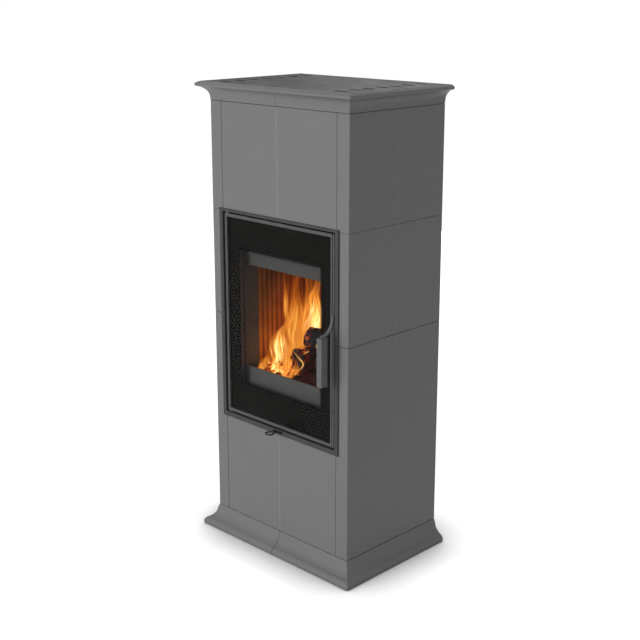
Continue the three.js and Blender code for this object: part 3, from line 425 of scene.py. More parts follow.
cracked, entry, leave = new_group(
    "cracked char",
    {"Blocks per metre": 70.0, "Glow reach": 0.1, "Heat": 0.5, "Ash": 0.1, "Hot edge": 0.0,
     "Cold glow": 0.1},
    colours=["Colour", "Glow"], values=["Roughness", "Height"],
)
tree = cracked
place = solid_place(tree)
bent = add_node(tree, "ShaderNodeTexNoise", {"Vector": place, "Scale": 45.0, "Detail": 2.0})
shifted = mix_colours(tree, 0.03, stretched(tree, place, block_stretch), bent.outputs["Color"])
cells = add_node(
    tree, "ShaderNodeTexVoronoi", {"Vector": shifted, "Scale": entry["Blocks per metre"]},
    feature="DISTANCE_TO_EDGE",
).outputs["Distance"]
crack = spread(tree, cells, 0.0, entry["Glow reach"], 1.0, 0.0, smooth=True)
warm = [maths(tree, "SUBTRACT", level, entry["Heat"]) for level in (0.92, 1.16)]
heat = spread(tree, noise_at(tree, place, 17.0, 3.0), *warm)
edges = [maths(tree, way, entry["Hot edge"], hot_softness) for way in ("SUBTRACT", "ADD")]
hot_side = spread(tree, part_of(tree, place, "X"), *edges, 1.0, entry["Cold glow"], smooth=True)
hot = product(tree, crack, heat, hot_side)
ash_flakes = spread(tree, noise_at(tree, place, 60.0, 4.0), 0.5, 0.72)
ashes = product(tree, ash_flakes, entry["Ash"])
char = mix_colours(tree, cells, grey(0.003), (0.03, 0.022, 0.02, 1))
ramp = add_node(tree, "ShaderNodeValToRGB", {"Fac": hot})
stops = ramp.color_ramp.elements
stops[0].color, stops[1].color = (0, 0, 0, 1), (1.0, 0.62, 0.18, 1)
for at, colour in ((0.1, dark_red), (0.3, red), (0.6, orange)):
    stops.new(at).color = colour
feed(tree, leave, {
    "Colour": mix_colours(tree, ashes, char, grey(0.3, 0.04)), "Glow": ramp.outputs[0],
    "Roughness": spread(tree, cells, 0.0, 0.3, 0.95, 0.72), "Height": cells,
})


def glowing_char(name, glow, values):
    """Blocks of char with glowing cracks, hottest on the left, and some white ash on top."""
    finish, tree, shader = new_finish(name, {"Specular IOR Level": 0.2, "Emission Strength": glow})
    char = use_group(tree, cracked, values)
    feed(tree, shader, {
        "Base Color": char["Colour"], "Emission Color": char["Glow"], "Roughness": char["Roughness"],
    })
    raise_surface(tree, shader, char["Height"], 6 * MM)
    return finish


finishes["charred_wood"] = glowing_char("charred wood", 1.5, {
    "Blocks per metre": 62.0, "Glow reach": 0.12, "Heat": 0.46, "Ash": 0.1, "Hot edge": 0.01,
    "Cold glow": 0.3,
})
finishes["glowing_ember"] = glowing_char("glowing embers", 2.4, {
    "Blocks per metre": 85.0, "Glow reach": 0.3, "Heat": 0.5, "Ash": 0.1, "Hot edge": -0.04,
    "Cold glow": 0.14,
})
print("char blocks:", round(1 / 62 / MM), "mm wide on the logs")

# %% [markdown]
# ## Flame light
# A flame's light and its alpha come from how far a point is across and up a thin sheet, torn by
# noise. Cooler and hotter sheets share this body, each with its own colours and strength.

# %% Flame body
flame_body, entry, leave = new_group(
    "flame body",
    {"Inner": (1.0, 0.6, 0.2, 1.0), "Outer": (0.9, 0.3, 0.02, 1.0), "Tip": (0.6, 0.1, 0.0, 1.0)},
    colours=["Light"], values=["Alpha"],
)
tree = flame_body
where = add_node(tree, "ShaderNodeUVMap", uv_map="flame").outputs[0]
torn, licks = (
    add_node(tree, "ShaderNodeTexNoise", {
        "Vector": stretched(tree, where, stretch), "Scale": 1.0, "Detail": detail, "Distortion": bend,
    }).outputs
    for stretch, detail, bend in (((3.2, 1.6, 1.0), 3.0, 0.6), ((8.0, 1.7, 1.0), 4.0, 1.6))
)
pushed = mix_colours(tree, 0.2, where, torn["Color"])
across = maths(tree, "ABSOLUTE", maths(tree, "SUBTRACT", part_of(tree, pushed, "X"), 0.5))
body = spread(tree, across, 0.06, 0.4, 1.0, 0.0, smooth=True)
up = part_of(tree, pushed, "Y")
rise = spread(tree, up, 0.3, 0.9, 1.0, 0.0, smooth=True)
foot = spread(tree, up, 0.08, 0.22, smooth=True)
wisps = spread(tree, licks[0], 0.36, 0.62, 0.04, 1.0)
heat = product(tree, body, rise, wisps)
edge_light = mix_colours(tree, spread(tree, heat, 0.0, 0.38), entry["Tip"], entry["Outer"])
light = mix_colours(tree, spread(tree, heat, 0.38, 1.0), edge_light, entry["Inner"])
feed(tree, leave, {"Light": light, "Alpha": product(tree, maths(tree, "POWER", heat, 0.75), foot)})


def flame_light(name, inner, outer, tip, glow):
    """A sheet of flame: bright along its middle and foot, thin and orange at its edge and tip."""
    finish, tree, shader = new_finish(name, {
        "Base Color": (0, 0, 0, 1), "Specular IOR Level": 0.0, "Roughness": 1.0,
        "Emission Strength": glow,
    })
    sheet = use_group(tree, flame_body, {"Inner": inner, "Outer": outer, "Tip": tip})
    feed(tree, shader, {"Emission Color": sheet["Light"], "Alpha": sheet["Alpha"]})
    return finish


flame = flame_light(
    "flame", (1.0, 0.5, 0.09, 1), (0.8, 0.22, 0.015, 1), (0.45, 0.07, 0.0, 1), glow=1.15
)
hot_flame = flame_light(
    "hot flame", (1.0, 0.86, 0.42, 1), (0.95, 0.42, 0.06, 1), (0.7, 0.15, 0.01, 1), glow=2.0
)


def flame_curl_light():
    """A thin lick of flame: yellow along its middle, orange at both ends, with a soft outline."""
    finish, tree, shader = new_finish("flame curl", {
        "Base Color": (0, 0, 0, 1), "Specular IOR Level": 0.0, "Emission Strength": 1.2,
    })
    where = add_node(tree, "ShaderNodeUVMap", uv_map="flame").outputs[0]
    end = maths(tree, "ABSOLUTE", maths(tree, "SUBTRACT", part_of(tree, where, "Y"), 0.5))
    warm = spread(tree, end, 0.1, 0.5, smooth=True)
    colour = mix_colours(tree, warm, (1.0, 0.56, 0.12, 1), (0.8, 0.16, 0.02, 1))
    turned_away = add_node(tree, "ShaderNodeLayerWeight", {"Blend": 0.5}).outputs["Facing"]
    soft = spread(tree, turned_away, 0.15, 0.75, 1.0, 0.0, smooth=True)
    fading = spread(tree, end, 0.05, 0.5, 0.65, 0.0)
    feed(tree, shader, {"Emission Color": colour, "Alpha": product(tree, soft, fading)})
    return finish


curl_flame = flame_curl_light()
print("fire finishes:", [glow.name for glow in (flame, hot_flame, curl_flame)])

# %% [markdown]
# ## Dress the CAD solids
# Most solids already have their final form, so they only get a finish, by the slot that CAD named.
# Their corners are sharp, and real sheet and tile corners never are. A weld joins the loose
# triangles and a bevel softens the corners, both as modifiers, so the solid itself stays as it is.
# The log guard stands in front of the fire. Its paint is a lighter copy of the mouth's paint: painted
# light, for a guard that looks more brightly lit.

# %% Finishes on the solids
soft_corner = {
    "glaze": 0.7 * MM, "top_paint": 0.4 * MM, "rim_paint": 0.5 * MM, "grip_paint": 0.6 * MM,
    "dark_paint": 0.4 * MM, "mouth_paint": 0.4 * MM, "cast_iron": 0.5 * MM,
}
enamel_slot = "black_glass"


def soften(piece, width):
    """Rounds the sharp corners of a piece a little."""
    bevel = piece.modifiers.new("soften corners", "BEVEL")
    bevel.width = width
    bevel.segments = 2
    bevel.limit_method = "ANGLE"
    bevel.angle_limit = math.radians(40)


for solid in solids.values():
    slot_name = solid.data.materials[0].name.split(".")[0]
    if slot_name == enamel_slot:
        continue
    solid.material_slots[0].material = finishes[slot_name]
    if slot_name in soft_corner:
        solid.modifiers.new("join corners", "WELD").merge_threshold = 0.02 * MM
        soften(solid, soft_corner[slot_name])
# painted light: the guard gets a paler copy of the mouth paint, to look more brightly lit
guard_paint_lightened = painted("log guard paint", grey(0.1, 0.02), grey(0.088, 0.02), shine=0.2)
solids["log_guard"].material_slots[0].material = guard_paint_lightened
print("dressed", len(solids) - 1, "solids")

# %% [markdown]
# ## New pieces
# A new piece is a mesh from points and faces. Its curved runs shade smoothly and its corners stay
# crisp, it rides on one of the stove's moving bodies, and it may stand for a CAD solid, which is
# then hidden.

# %% Piece helpers
def make_piece(name, points, faces, slot, finish=None, stands_for=(), body="casing", crease=32):
    """Makes a piece with a slot's finish or its own, and sets it on a body."""
    mesh = bpy.data.meshes.new(name)
    mesh.from_pydata([tuple(p) for p in points], [], faces)
    shape = bmesh.new()
    shape.from_mesh(mesh)
    bmesh.ops.recalc_face_normals(shape, faces=shape.faces)
    shape.to_mesh(mesh)
    shape.free()
    mesh.shade_smooth()
    mesh.set_sharp_from_angle(angle=math.radians(crease))
    mesh.materials.append(finish or finishes[slot])
    piece = bpy.data.objects.new(name, mesh)
    scene.collection.objects.link(piece)
    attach(piece, body)
    if stands_for:
        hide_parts(*stands_for)
    return piece


def rounded_run(points, steps):
    """A smooth curve through the given points, which leaves each along its neighbours' chord."""
    ends = [points[0], *points, points[-1]]
    run = []
    for before, start, stop, after in zip(ends, ends[1:], ends[2:], ends[3:]):
        for step in range(steps):
            t = step / steps
            run.append(tuple(
                0.5 * (2 * b + (c - a) * t + (2 * a - 5 * b + 4 * c - d) * t ** 2
                       + (3 * b - a - 3 * c + d) * t ** 3)
                for a, b, c, d in zip(before, start, stop, after)
            ))
    return [*run, tuple(points[-1])]


def lofted(sections):
    """Faces and points of closed outlines joined in a row, with flat ends."""
    count = len(sections[0])
    points = [point for section in sections for point in section]
    faces = []
    for row in range(len(sections) - 1):
        for i in range(count):
            after = (i + 1) % count
            low, high = row * count, (row + 1) * count
            faces.append((low + i, low + after, high + after, high + i))
    last = (len(sections) - 1) * count
    faces.append(tuple(range(count)))
    faces.append(tuple(last + i for i in reversed(range(count))))
    return points, faces


def write_places(piece, layer_name, places):
    """Writes a pair of values for each point into a UV map that a finish reads."""
    layer = piece.data.uv_layers.new(name=layer_name)
    for loop in piece.data.loops:
        layer.data[loop.index].uv = places[loop.vertex_index]


def grid_faces(rows, columns, start=0):
    """Square faces between the points of a grid, row by row."""
    wide = columns + 1
    cells = [start + row * wide + column for row in range(rows) for column in range(columns)]
    return [(i, i + 1, i + wide + 1, i + wide) for i in cells]


print("piece helpers ready")

# %% [markdown]
# ## Plinth and cornice
# Each moulding is pressed clay, glazed like the tiles, in two halves that meet in the middle of
# the front. The CAD halves follow the same profile in coarse steps. Here a smooth curve runs
# through the same points, and the profile is swept from the middle joint round the corner to the
# back. Sweeping keeps the mitre at the corner sharp, as on a real cut moulding.

# %% Mouldings
body_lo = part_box("corner_tile_left_lower")[0]
half_width = -body_lo.x
front_face = body_lo.y
back_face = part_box("side_tile_left_lower")[1].y
tile_thickness = 12 * MM
plinth_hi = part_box("plinth_right")[1]
cornice_lo, cornice_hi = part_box("cornice_right")

plinth_curve = rounded_run(
    [(0.1, 0.145), (0.17, 0.31), (0.25, 0.42), (0.41, 0.54), (0.6, 0.63), (0.79, 0.69),
     (0.93, 0.77), (0.99, 0.86), (1, 0.93), (0.97, 1)], 4)
cornice_curve = rounded_run(
    [(0, 0), (0.02, 0.17), (0.1, 0.36), (0.27, 0.52), (0.6, 0.67), (0.92, 0.73),
     (0.98, 0.77), (1, 0.8), (1, 0.85), (0.97, 0.89), (0.82, 0.94), (0.66, 0.985)], 4)


def plinth_profile():
    reach = plinth_hi.x - half_width
    height = plinth_hi.z
    flare = [(min(out, 1) * reach, height * (1 - min(down, 1))) for out, down in plinth_curve]
    return [(0, height), *flare, (-tile_thickness, 0), (-tile_thickness, height)]


def cornice_profile():
    reach = cornice_hi.x - half_width
    low, height = cornice_lo.z, cornice_hi.z - cornice_lo.z
    lip = [(max(0, min(out, 1)) * reach, low + min(up, 1) * height) for out, up in cornice_curve]
    ledge_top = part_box("top_plate")[0].z - 0.3 * MM
    ledge_front = 18 * MM
    chamfer = 1.2 * MM
    return [
        *lip, (ledge_front + chamfer, cornice_hi.z), (ledge_front, cornice_hi.z - chamfer),
        (ledge_front, ledge_top), (-tile_thickness, ledge_top), (-tile_thickness, low),
    ]


def moulding(kind, profile):
    for side, turn in (("right", 1), ("left", -1)):
        node = f"{kind}_{side}"
        middle = abs(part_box(node)[0 if turn > 0 else 1].x)
        sections = [
            [(turn * middle, front_face - reach, z) for reach, z in profile],
            [(turn * (half_width + reach), front_face - reach, z) for reach, z in profile],
            [(turn * (half_width + reach), back_face, z) for reach, z in profile],
        ]
        name = f"{kind}_moulding_{side}"
        piece = make_piece(name, *lofted(sections), "glaze", stands_for=[node])
        soften(piece, 0.6 * MM)


moulding("plinth", plinth_profile())
moulding("cornice", cornice_profile())
print("plinth reach", plinth_hi.x - half_width, "cornice reach", cornice_hi.x - half_width)

# %% [markdown]
# ## Pale joints
# The joints in the middle of the front and of each side show as fine pale lines, while the corner
# and course joints stay dark. The tiles leave a hair's breadth between them, too fine for a groove
# to read as pale by itself, so a thin pale strip fills each of those joints: a painted highlight
# that stands in for the light on the tile chamfers.

# %% Joint highlight strips
def joint_highlight_finish():
    finish, tree, shader = new_finish("pale grout", {"Roughness": 0.9, "Specular IOR Level": 0.1})
    # painted highlight: the strip's pale colour stands in for the light on the tile chamfers
    tint = clouded(tree, grey(0.38), grey(0.3), per_metre=120.0, fleck=0.5)[0]
    feed(tree, shader, {"Base Color": tint})
    grained(tree, shader, per_metre=1500.0, swell=0.5, depth=0.1 * MM)
    return finish


pale_joint_highlight = joint_highlight_finish()
strip_sunk = 0.15 * MM
strip_depth = 5 * MM
joint_clearance = 0.04 * MM
tile_chamfer = 0.9 * MM


def wedge(low_edge, high_edge, face, inwards, z_low, z_high, along_x):
    """A strip with a wide mouth that fills the groove between two chamfered tiles."""
    mouth = tile_chamfer - 2 * strip_sunk
    outline = [
        (low_edge - mouth, strip_sunk), (high_edge + mouth, strip_sunk),
        (high_edge, tile_chamfer + strip_sunk), (high_edge, strip_depth),
        (low_edge, strip_depth), (low_edge, tile_chamfer + strip_sunk),
    ]
    ring = [(along, face + inwards * deep) for along, deep in outline]
    if not along_x:
        ring = [(deep, along) for along, deep in ring]
    return lofted([[(x, y, z) for x, y in ring] for z in (z_low, z_high)])


def fill_joint(name, tiles, axis, face, inwards):
    """Lays a strip in the upright joint between two tiles that lie side by side along an axis."""
    (low, high), (next_low, _) = (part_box(tile) for tile in tiles)
    edges = high[axis] + joint_clearance, next_low[axis] - joint_clearance
    strip = wedge(*edges, face, inwards, low.z + MM, high.z - MM, axis == 0)
    make_piece(name, *strip, "glaze", pale_joint_highlight)


for course in ("lower", "upper"):
    tiles = f"front_tile_left_{course}", f"front_tile_right_{course}"
    fill_joint(f"grout_front_{course}", tiles, 0, front_face, 1)
for side, turn in (("left", -1), ("right", 1)):
    for course in ("lower", "upper", "top"):
        tiles = f"corner_tile_{side}_{course}", f"side_tile_{side}_{course}"
        fill_joint(f"grout_{side}_{course}", tiles, 1, turn * half_width, -turn)

# %% [markdown]
# Between the courses, and under the mouldings, the joints are dark: a thin black sealing strip
# lies in them, set back from the face. Without it the sky would show through at the corners.

# %% Dark joints
seal_setback = 2.2 * MM
seal_inner = 9 * MM
seal_play = 0.08 * MM
middle_gap = 2 * MM
corner_leg = 43.5 * MM


def dark_joint(name, side, z_low, z_high, front_end):
    """A flat L-shaped strip in a level joint, from the front round one corner to the back."""
    turn = 1 if side == "right" else -1
    out = half_width - seal_setback
    inside = half_width - seal_inner
    front_out, front_in = front_face + seal_setback, front_face + seal_inner
    ring = [
        (front_end, front_out), (out, front_out), (out, back_face - MM), (inside, back_face - MM),
        (inside, front_in), (front_end, front_in),
    ]
    levels = (z_low + seal_play, z_high - seal_play)
    strip = lofted([[(turn * x, y, z) for x, y in ring] for z in levels])
    make_piece(name, *strip, "dark_paint")


courses = ("lower", "upper", "top")
for side in ("left", "right"):
    lower, upper, top = (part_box(f"corner_tile_{side}_{course}") for course in courses)
    dark_joint(f"joint_plinth_{side}", side, plinth_hi.z, lower[0].z, middle_gap)
    dark_joint(f"joint_lower_{side}", side, lower[1].z, upper[0].z, half_width - corner_leg)
    dark_joint(f"joint_cornice_{side}", side, top[1].z, cornice_lo.z, middle_gap)
print("level joints", round((upper[0].z - lower[1].z) / MM, 2), "mm high")

# %% [markdown]
# ## The glass
# The pane is clear ceramic glass with a wide black border printed on its inner face. The print's
# edge is made of dots that thin out, so it looks soft from a distance. The pane and the print are
# two pieces: a clear slab, and a skin just behind it whose alpha falls over a few millimetres.

# %% Pane and print
glass_lo, glass_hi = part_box("door_glass")
window_lo = Vector((-154 * MM, 0, 482 * MM))
window_hi = Vector((154 * MM, 0, 865 * MM))
print_fade = 14 * MM
print_skin = 0.15 * MM
print_gap = 0.05 * MM
glass_edge = 0.6 * MM


def rectangle(lo, hi, y, inset=0):
    """The four corners of an upright rectangle."""
    left, right, low, high = lo.x + inset, hi.x - inset, lo.z + inset, hi.z - inset
    return [(left, y, low), (right, y, low), (right, y, high), (left, y, high)]


def slab(lo, hi, edge):
    """A flat pane with ground edges."""
    levels = ((lo.y, edge), (lo.y + edge, 0), (hi.y - edge, 0), (hi.y, edge))
    return lofted([rectangle(lo, hi, y, inset) for y, inset in levels])


def print_frame(lo, hi, hole_lo, hole_hi, thickness):
    """A thin closed frame on the back of the pane."""
    points, faces = [], []
    for y in (hi.y + print_gap, hi.y + print_gap + thickness):
        points += rectangle(lo, hi, y) + rectangle(hole_lo, hole_hi, y)
    for i in range(4):
        j = (i + 1) % 4
        faces += [(i, j, 4 + j, 4 + i), (8 + i, 8 + j, 12 + j, 12 + i)]
        faces += [(i, j, 8 + j, 8 + i), (4 + i, 4 + j, 12 + j, 12 + i)]
    return points, faces


enamel = black_enamel(window_lo, window_hi, print_fade)
pane = slab(glass_lo, glass_hi, glass_edge)
skin = print_frame(glass_lo, glass_hi, window_lo, window_hi, print_skin)
make_piece("glass_pane", *pane, enamel_slot, clear_glass(), ["door_glass"], "door")
make_piece("glass_print", *skin, enamel_slot, enamel, ["door_glass"], "door")
print("clear window", [round(v / MM) for v in window_hi - window_lo])

# %% [markdown]
# ## The fluted fire lining
# The sides and the back of the firebox are lined with boards whose faces are rows of upright round
# ribs. A wave texture could fake them, but their shadows show through the glass, so each rib is
# real: half a sine wave in sixteen steps. The upper end of each board is worn round.

# %% Fluted boards
rib_pitch = 20 * MM
rib_depth = 6 * MM
rib_steps = 16
worn_edge = 1.5 * MM


def fluted_board(width, height, thickness):
    """Board with its ribs towards -Y, its middle at the origin and its foot at 0."""
    ribs = round(width / rib_pitch)
    face, crests = [], []
    for i in range(ribs * rib_steps + 1):
        crests.append(math.sin(math.pi * (i % rib_steps) / rib_steps))
        face.append((-width / 2 + i * width / (ribs * rib_steps), rib_depth * (1 - crests[-1])))
    outline = [*face, (width / 2, thickness), (-width / 2, thickness)]
    sections = []
    for z, inset in ((0, 0), (height - worn_edge, 0), (height, worn_edge)):
        sections.append([(x, max(y, inset), z) for x, y in outline])
    return (*lofted(sections), [*crests, 0.0, 0.0] * len(sections))


def lining(side, turn):
    """Stands a fluted board in the place of a lining solid, turned so many degrees."""
    lo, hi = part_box(f"lining_{side}")
    size, middle = hi - lo, (lo + hi) / 2
    width, thickness = (size.y, size.x) if turn else (size.x, size.y)
    points, faces, crests = fluted_board(width, size.z, thickness)
    face_middle = {
        "left": (hi.x, middle.y), "right": (lo.x, middle.y), "back": (middle.x, lo.y),
    }[side]
    stand = Matrix.Translation((*face_middle, lo.z)) @ Matrix.Rotation(math.radians(turn), 4, "Z")
    points = [stand @ Vector(point) for point in points]
    board = make_piece(
        f"fluted_board_{side}", points, faces, "fire_brick", ribbed_brick, [f"lining_{side}"], crease=40
    )
    write_places(board, "rib", [(crest, 0) for crest in crests])


lining("left", 90)
lining("right", -90)
lining("back", 0)
back_lo, back_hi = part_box("lining_back")
print("ribs across the back:", round((back_hi.x - back_lo.x) / rib_pitch))

# %% [markdown]
# ## The logs
# Three split logs burn on the embers. Each CAD log is a tapered round bar. The burnt one starts
# from the same bar, cut into many rings, and every point moves in or out with noise: long waves
# for the split sides, and short ones for blocks of char. The ends are ragged too. The moves go
# mostly inwards, so the wood stays in the place that CAD keeps for it.

# %% Logs
log_rings = 64
log_sides = 56


def burnt_log(node, length, radius, turn, yaw, lean, seed):
    lo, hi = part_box(node)
    middle = (lo + hi) / 2
    stand = Matrix.Rotation(yaw, 4, "Z") @ Matrix.Rotation(lean, 4, "Y")
    drift = Vector((seed * 7.3, seed * 3.1, seed))
    rings = []
    for ring in range(-3, log_rings + 4):
        share = min(max(ring / log_rings, 0), 1)
        end_step = max(-ring, ring - log_rings, 0)
        shrink = (1, 0.9, 0.6, 0.25)[end_step]
        section = []
        for side in range(log_sides):
            angle = 2 * math.pi * side / log_sides
            taper = 1 - 0.14 * share
            turned = angle + turn
            swell = 0.9 + 0.07 * math.cos(3 * turned) + 0.03 * math.sin(5 * turned + 6 * share)
            spot = Vector((share * length, radius * math.cos(angle), radius * math.sin(angle)))
            wave = noise.noise(spot * 22 + drift)
            block = noise.voronoi(Vector((spot.x * 50, spot.y * 75, spot.z * 75)) + drift)[0]
            crack = min((block[1] - block[0]) * 2.2, 1)
            out = radius * taper * swell * (0.97 + 0.05 * wave - 0.09 * (1 - crack) ** 2) * shrink
            ragged = 2.4 * MM * noise.noise(spot * 60 + drift) * (1 if end_step else 0)
            along = (share - 0.5) * (length - 3 * MM) + ragged
            section.append(stand @ Vector((along, out * math.cos(angle), out * math.sin(angle))))
        rings.append(section)
    points, faces = lofted(rings)
    points = [Vector(point) for point in points]
    low = Vector([min(p[axis] for p in points) for axis in range(3)])
    high = Vector([max(p[axis] for p in points) for axis in range(3)])
    shift = middle - (low + high) / 2
    points = [point + shift for point in points]
    name = node.replace("log", "burnt_log")
    make_piece(name, points, faces, "charred_wood", stands_for=[node], crease=60)


log_radius = 39 * MM
low_log_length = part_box("log_left")[1].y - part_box("log_left")[0].y - 8 * MM
burnt_log("log_left", low_log_length, log_radius, 0.4, math.pi / 2 - 0.12, 0, 1)
burnt_log("log_right", low_log_length, 1.06 * log_radius, 1.7, math.pi / 2 + 0.14, 0, 2)
burnt_log("log_top", 152 * MM, 0.88 * log_radius, 2.9, 0.1, -0.055, 3)
print("low logs", round(low_log_length / MM), "mm long")

# %% [markdown]
# ## The ember bed
# Burnt wood falls apart into coals, which lie in a heap under the logs. One smooth heap would look
# like sand, so the bed is a low mound with a few hundred faceted coals half sunk into it. Every
# coal is a small ball with its corners pushed about, and a seeded random draw gives the same
# heap each time.

# %% Embers
bed_lo, bed_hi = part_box("ember_bed")


def bed_height(x, y):
    """Height of the mound at a place, lower towards its front, back and sides."""
    middle_y = (bed_lo.y + bed_hi.y) / 2
    depth_share = abs(y - middle_y) / ((bed_hi.y - bed_lo.y) / 2)
    side_share = abs(x) / bed_hi.x
    full = (bed_hi.z - bed_lo.z) * 0.66
    lumps = 5 * MM * noise.noise(Vector((x * 28, y * 28, 4.0)))
    return bed_lo.z + (full + lumps) * (1 - 0.3 * depth_share ** 4) * (1 - 0.1 * side_share ** 6)


def ember_mound():
    """A closed block with a lumpy top, on a grid of points."""
    columns, rows = 60, 40
    points = []
    for row in range(rows + 1):
        y = bed_lo.y + (bed_hi.y - bed_lo.y) * row / rows
        for column in range(columns + 1):
            x = bed_lo.x + (bed_hi.x - bed_lo.x) * column / columns
            points.append((x, y, bed_height(x, y)))
    top, width = len(points), columns + 1
    points += [(x, y, bed_lo.z) for x, y, _ in points[:top]]
    faces = grid_faces(rows, columns)
    faces += [tuple(top + i for i in reversed(face)) for face in faces]
    rim = list(range(columns))
    rim += [row * width + columns for row in range(rows)]
    rim += [rows * width + columns - column for column in range(columns)]
    rim += [(rows - row) * width for row in range(rows)]
    for i, j in zip(rim, rim[1:] + rim[:1]):
        faces.append((i, top + i, top + j, j))
    return points, faces


def coals(count, seed):
    """So many small balls with corners pushed about, half sunk into the mound."""
    draw = random.Random(seed)
    ball = bmesh.new()
    bmesh.ops.create_icosphere(ball, subdivisions=2, radius=1)
    ball.verts.ensure_lookup_table()
    ball_points = [vert.co.copy() for vert in ball.verts]
    ball_faces = [tuple(vert.index for vert in face.verts) for face in ball.faces]
    ball.free()
    points, faces = [], []
    for _ in range(count):
        size = draw.uniform(5, 11) * MM
        x = draw.uniform(bed_lo.x + size, bed_hi.x - size)
        y = draw.uniform(bed_lo.y + size, bed_hi.y - size)
        z = bed_height(x, y) + size * draw.uniform(-0.2, 0.35)
        z = min(z, bed_hi.z - size)
        stretch = Vector([draw.uniform(0.6, 1.0) for _ in range(3)])
        spin = Matrix.Rotation(draw.uniform(0, math.tau), 3, "Z")
        spin = spin @ Matrix.Rotation(draw.uniform(0, 1.2), 3, "X")
        offset = Vector((draw.uniform(0, 50), draw.uniform(0, 50), 0))
        start = len(points)
        for corner in ball_points:
            facet = 1 - 0.22 * abs(noise.noise(corner * 1.7 + offset)) * 2
            local = Vector([c * s for c, s in zip(corner, stretch)]) * facet * size
            points.append(Vector((x, y, z)) + spin @ local)
        faces += [tuple(start + i for i in face) for face in ball_faces]
    return points, faces


make_piece("ember_mound", *ember_mound(), "glowing_ember", stands_for=["ember_bed"])
heap = coals(count=420, seed=7)
make_piece("ember_coals", *heap, "glowing_ember", stands_for=["ember_bed"], crease=25)
print("ember bed", [round(v / MM) for v in bed_hi - bed_lo])

# %% [markdown]
# ## The flames
# A flame is glowing gas with no surface. A volume would be the truest stand-in, but it is slow and
# can't leave Blender, so each tongue is a thin curved sheet, seen through its own alpha. A tongue
# has a foot on the wood, a tip, and a width. Its middle line sways more towards the tip, and every
# tongue gets a second sheet across it, so that it has body from any side. Small curls lick round the
# wood: each is a thin round cord of flame, tapered at both ends, that fades towards its outline.

# %% Flames
flame_rows = 36
flame_columns = 10

tongues = [
    # foot x, y, z; tip x, y, z; width; hot
    ((-128, -62, 500), (-118, -40, 668), 92, True),
    ((-150, -30, 500), (-152, -22, 640), 60, False),
    ((-96, -40, 515), (-100, -14, 742), 84, False),
    ((-72, -10, 540), (-58, 2, 770), 78, False),
    ((-40, 18, 560), (-34, 10, 752), 92, True),
    ((-82, 34, 520), (-96, 40, 700), 80, False),
    ((8, 30, 585), (-2, 26, 735), 80, True),
    ((-66, -92, 520), (-74, -86, 640), 58, False),
    ((-20, -60, 590), (-14, -50, 700), 52, False),
    ((44, 20, 590), (38, 22, 720), 86, False),
    ((92, 10, 590), (84, 14, 690), 76, False),
    ((128, -20, 540), (132, -8, 650), 60, False),
    ((-150, -96, 492), (-158, -92, 566), 44, False),
    ((-100, -112, 492), (-96, -108, 560), 50, True),
    ((-56, -108, 505), (-40, -110, 606), 54, False),
    ((-18, -118, 500), (-2, -114, 572), 48, False),
    ((-130, -124, 494), (-136, -122, 548), 62, False),
    ((-70, -128, 492), (-66, -126, 546), 62, True),
    ((-24, -130, 490), (-14, -128, 534), 52, False),
    ((-88, -26, 545), (-92, -20, 815), 118, False),
    ((-56, -6, 580), (-48, 4, 790), 104, True),
    ((-72, 14, 560), (-86, 18, 805), 110, False),
    ((-112, -46, 640), (-122, -44, 790), 30, False),
]


def flame_tongue(name, foot, tip, width, hot, seed):
    """Two crossed sheets from a foot to a tip, bowed and ruffled by noise."""
    foot, tip, width = Vector(foot) * MM, Vector(tip) * MM, width * MM
    drift = Vector((seed * 5.7, 0, seed * 2.3))
    points, faces, spots = [], [], []
    for turn in (35 + 23 * (seed % 3), 125 + 23 * (seed % 3)):
        across = Vector((math.cos(math.radians(turn)), math.sin(math.radians(turn)), 0))
        facing = Vector((-across.y, across.x, 0))
        faces += grid_faces(flame_rows, flame_columns, len(points))
        for row in range(flame_rows + 1):
            share = row / flame_rows
            sway = Vector((noise.noise(drift + Vector((0, share * 2.4, 0))),
                           noise.noise(drift + Vector((9, share * 2.4, 0))), 0))
            centre = foot.lerp(tip, share) + sway * width * 0.42 * share
            belly = 0.55 + 0.45 * math.sin(math.pi * min(share * 1.5, 1))
            spreading = width * belly * (1 - 0.62 * share ** 2)
            for column in range(flame_columns + 1):
                side = column / flame_columns - 0.5
                bow = facing * spreading * (0.18 - 0.72 * side * side)
                ruffle = facing * width * 0.1 * noise.noise(drift + Vector((side * 4, share * 5, 3)))
                points.append(centre + across * spreading * side + bow + ruffle)
                spots.append((column / flame_columns, share))
    piece = make_piece(name, points, faces, "glowing_ember", hot_flame if hot else flame)
    write_places(piece, "flame", spots)


curls = [
    # points along the lick, in mm
    [(-152, -70, 520), (-160, -66, 540), (-172, -64, 562)],
    [(-35, -113, 598), (-2, -113, 574), (20, -112, 556), (8, -114, 536), (-14, -116, 520)],
    [(-104, -84, 538), (-94, -84, 556), (-70, -84, 574)],
    [(72, -96, 592), (58, -96, 612), (66, -95, 634)],
    [(20, -112, 584), (46, -111, 602)],
    [(-150, -120, 524), (-162, -112, 514), (-140, -122, 512), (-110, -126, 516)],
    [(-96, -138, 508), (-50, -136, 522), (-34, -132, 512), (0, -122, 524)],
]
curl_sides = 8
curl_steps = 10
curl_thickness = 2.0 * MM


def flame_curl(name, way):
    """A round cord of flame along a smooth way, thin at both ends."""
    run = [Vector(point) * MM for point in rounded_run(way, curl_steps)]
    sections, spots = [], []
    for i, centre in enumerate(run):
        share = i / (len(run) - 1)
        along = (run[min(i + 1, len(run) - 1)] - run[max(i - 1, 0)]).normalized()
        out = along.cross(Vector((0.3, -1, 0.2))).normalized()
        over = along.cross(out)
        swell = curl_thickness * (0.35 + 0.65 * math.sin(math.pi * share))
        section = []
        for k in range(curl_sides):
            angle = math.tau * k / curl_sides
            section.append(centre + (out * math.cos(angle) + over * math.sin(angle)) * swell)
            spots.append((k / curl_sides, share))
        sections.append(section)
    piece = make_piece(name, *lofted(sections), "glowing_ember", curl_flame)
    write_places(piece, "flame", spots)


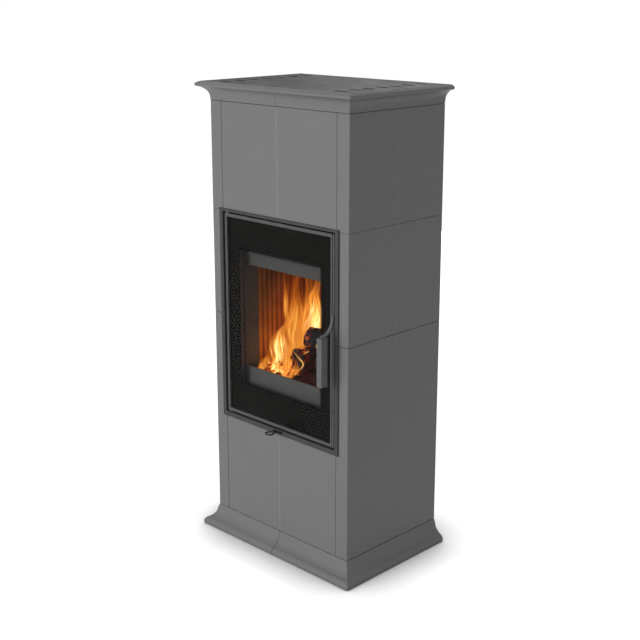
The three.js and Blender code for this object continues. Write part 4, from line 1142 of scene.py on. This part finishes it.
for number, way in enumerate(curls, 1):
    flame_curl(f"flame_curl_{number}", way)
for number, (foot, tip, width, hot) in enumerate(tongues, 1):
    flame_tongue(f"flame_{number:02d}", foot, tip, width, hot, number)
print("flames:", len(tongues), "curls:", len(curls))

# %% [markdown]
# ## Floor and light
# The stove stands on a pale floor in a white studio. A soft key light comes from the front left,
# and the white room fills the rest. The room is white to the camera, to gloss and through glass,
# but lights the stove more gently, so that the side away from the key light stays darker. The
# floor adds painted light of its own to the camera, and less of it where ambient occlusion finds
# the stove's foot over it: a painted soft shadow round the plinth.

# %% Studio
scene.view_settings.view_transform = "Standard"


def studio_light(name, place, target, size, power):
    lamp = bpy.data.lights.new(name, "AREA")
    lamp.shape = "DISK"
    lamp.size = size
    lamp.energy = power
    light = bpy.data.objects.new(name, lamp)
    scene.collection.objects.link(light)
    light.location = place
    aim = Vector(target) - Vector(place)
    light.rotation_euler = aim.to_track_quat("-Z", "Y").to_euler()


def seen_directly(tree):
    """1 for camera, gloss and transmission rays, 0 for the light that the room gives."""
    path = add_node(tree, "ShaderNodeLightPath").outputs
    seen = maths(tree, "MAXIMUM", path["Is Camera Ray"], path["Is Glossy Ray"])
    return maths(tree, "MAXIMUM", seen, path["Is Transmission Ray"])


stove_middle = (0, 0, 0.7)
studio_light("key", (-0.9, -4.3, 1.4), stove_middle, 2.2, 97)
studio_light("side light", (3.6, -2.3, 0.7), stove_middle, 2.0, 28)
studio_light("back light", (-2.6, 3.6, 0.9), stove_middle, 2.0, 70)

room_light = 0.24
world = bpy.data.worlds.new("studio")
world.use_nodes = True
scene.world = world
room = world.node_tree
strength = spread(room, seen_directly(room), 0.0, 1.0, room_light, 1.0)
room.links.new(strength, room.nodes["Background"].inputs["Strength"])
room.nodes["Background"].inputs["Color"].default_value = (1, 1, 1, 1)

floor_reach = 30
floor_drop = 0.2 * MM
corners = [(-1, -1), (1, -1), (1, 1), (-1, 1)]
floor_mesh = bpy.data.meshes.new("floor")
floor_mesh.from_pydata([(x * floor_reach, y * floor_reach, 0) for x, y in corners], [], [(0, 1, 2, 3)])
floor = bpy.data.objects.new("floor", floor_mesh)
floor.location.z = -floor_drop
scene.collection.objects.link(floor)
floor_finish, tree, shader = new_finish("pale floor", {
    "Roughness": 0.9, "Specular IOR Level": 0.0, "Emission Color": (1, 1, 1, 1),
})
# painted shadow: the floor's own light is dimmed by ambient occlusion near the stove's foot
open_sky = add_node(tree, "ShaderNodeAmbientOcclusion", {"Distance": 0.17}, samples=8).outputs["AO"]
own_light = product(tree, spread(tree, open_sky, 0.5, 0.985, 0.05, 0.93), seen_directly(tree))
floor_tint = clouded(tree, grey(0.46), grey(0.44), per_metre=2.0, fleck=0.1)[0]
feed(tree, shader, {"Base Color": floor_tint, "Emission Strength": own_light})
floor_mesh.materials.append(floor_finish)
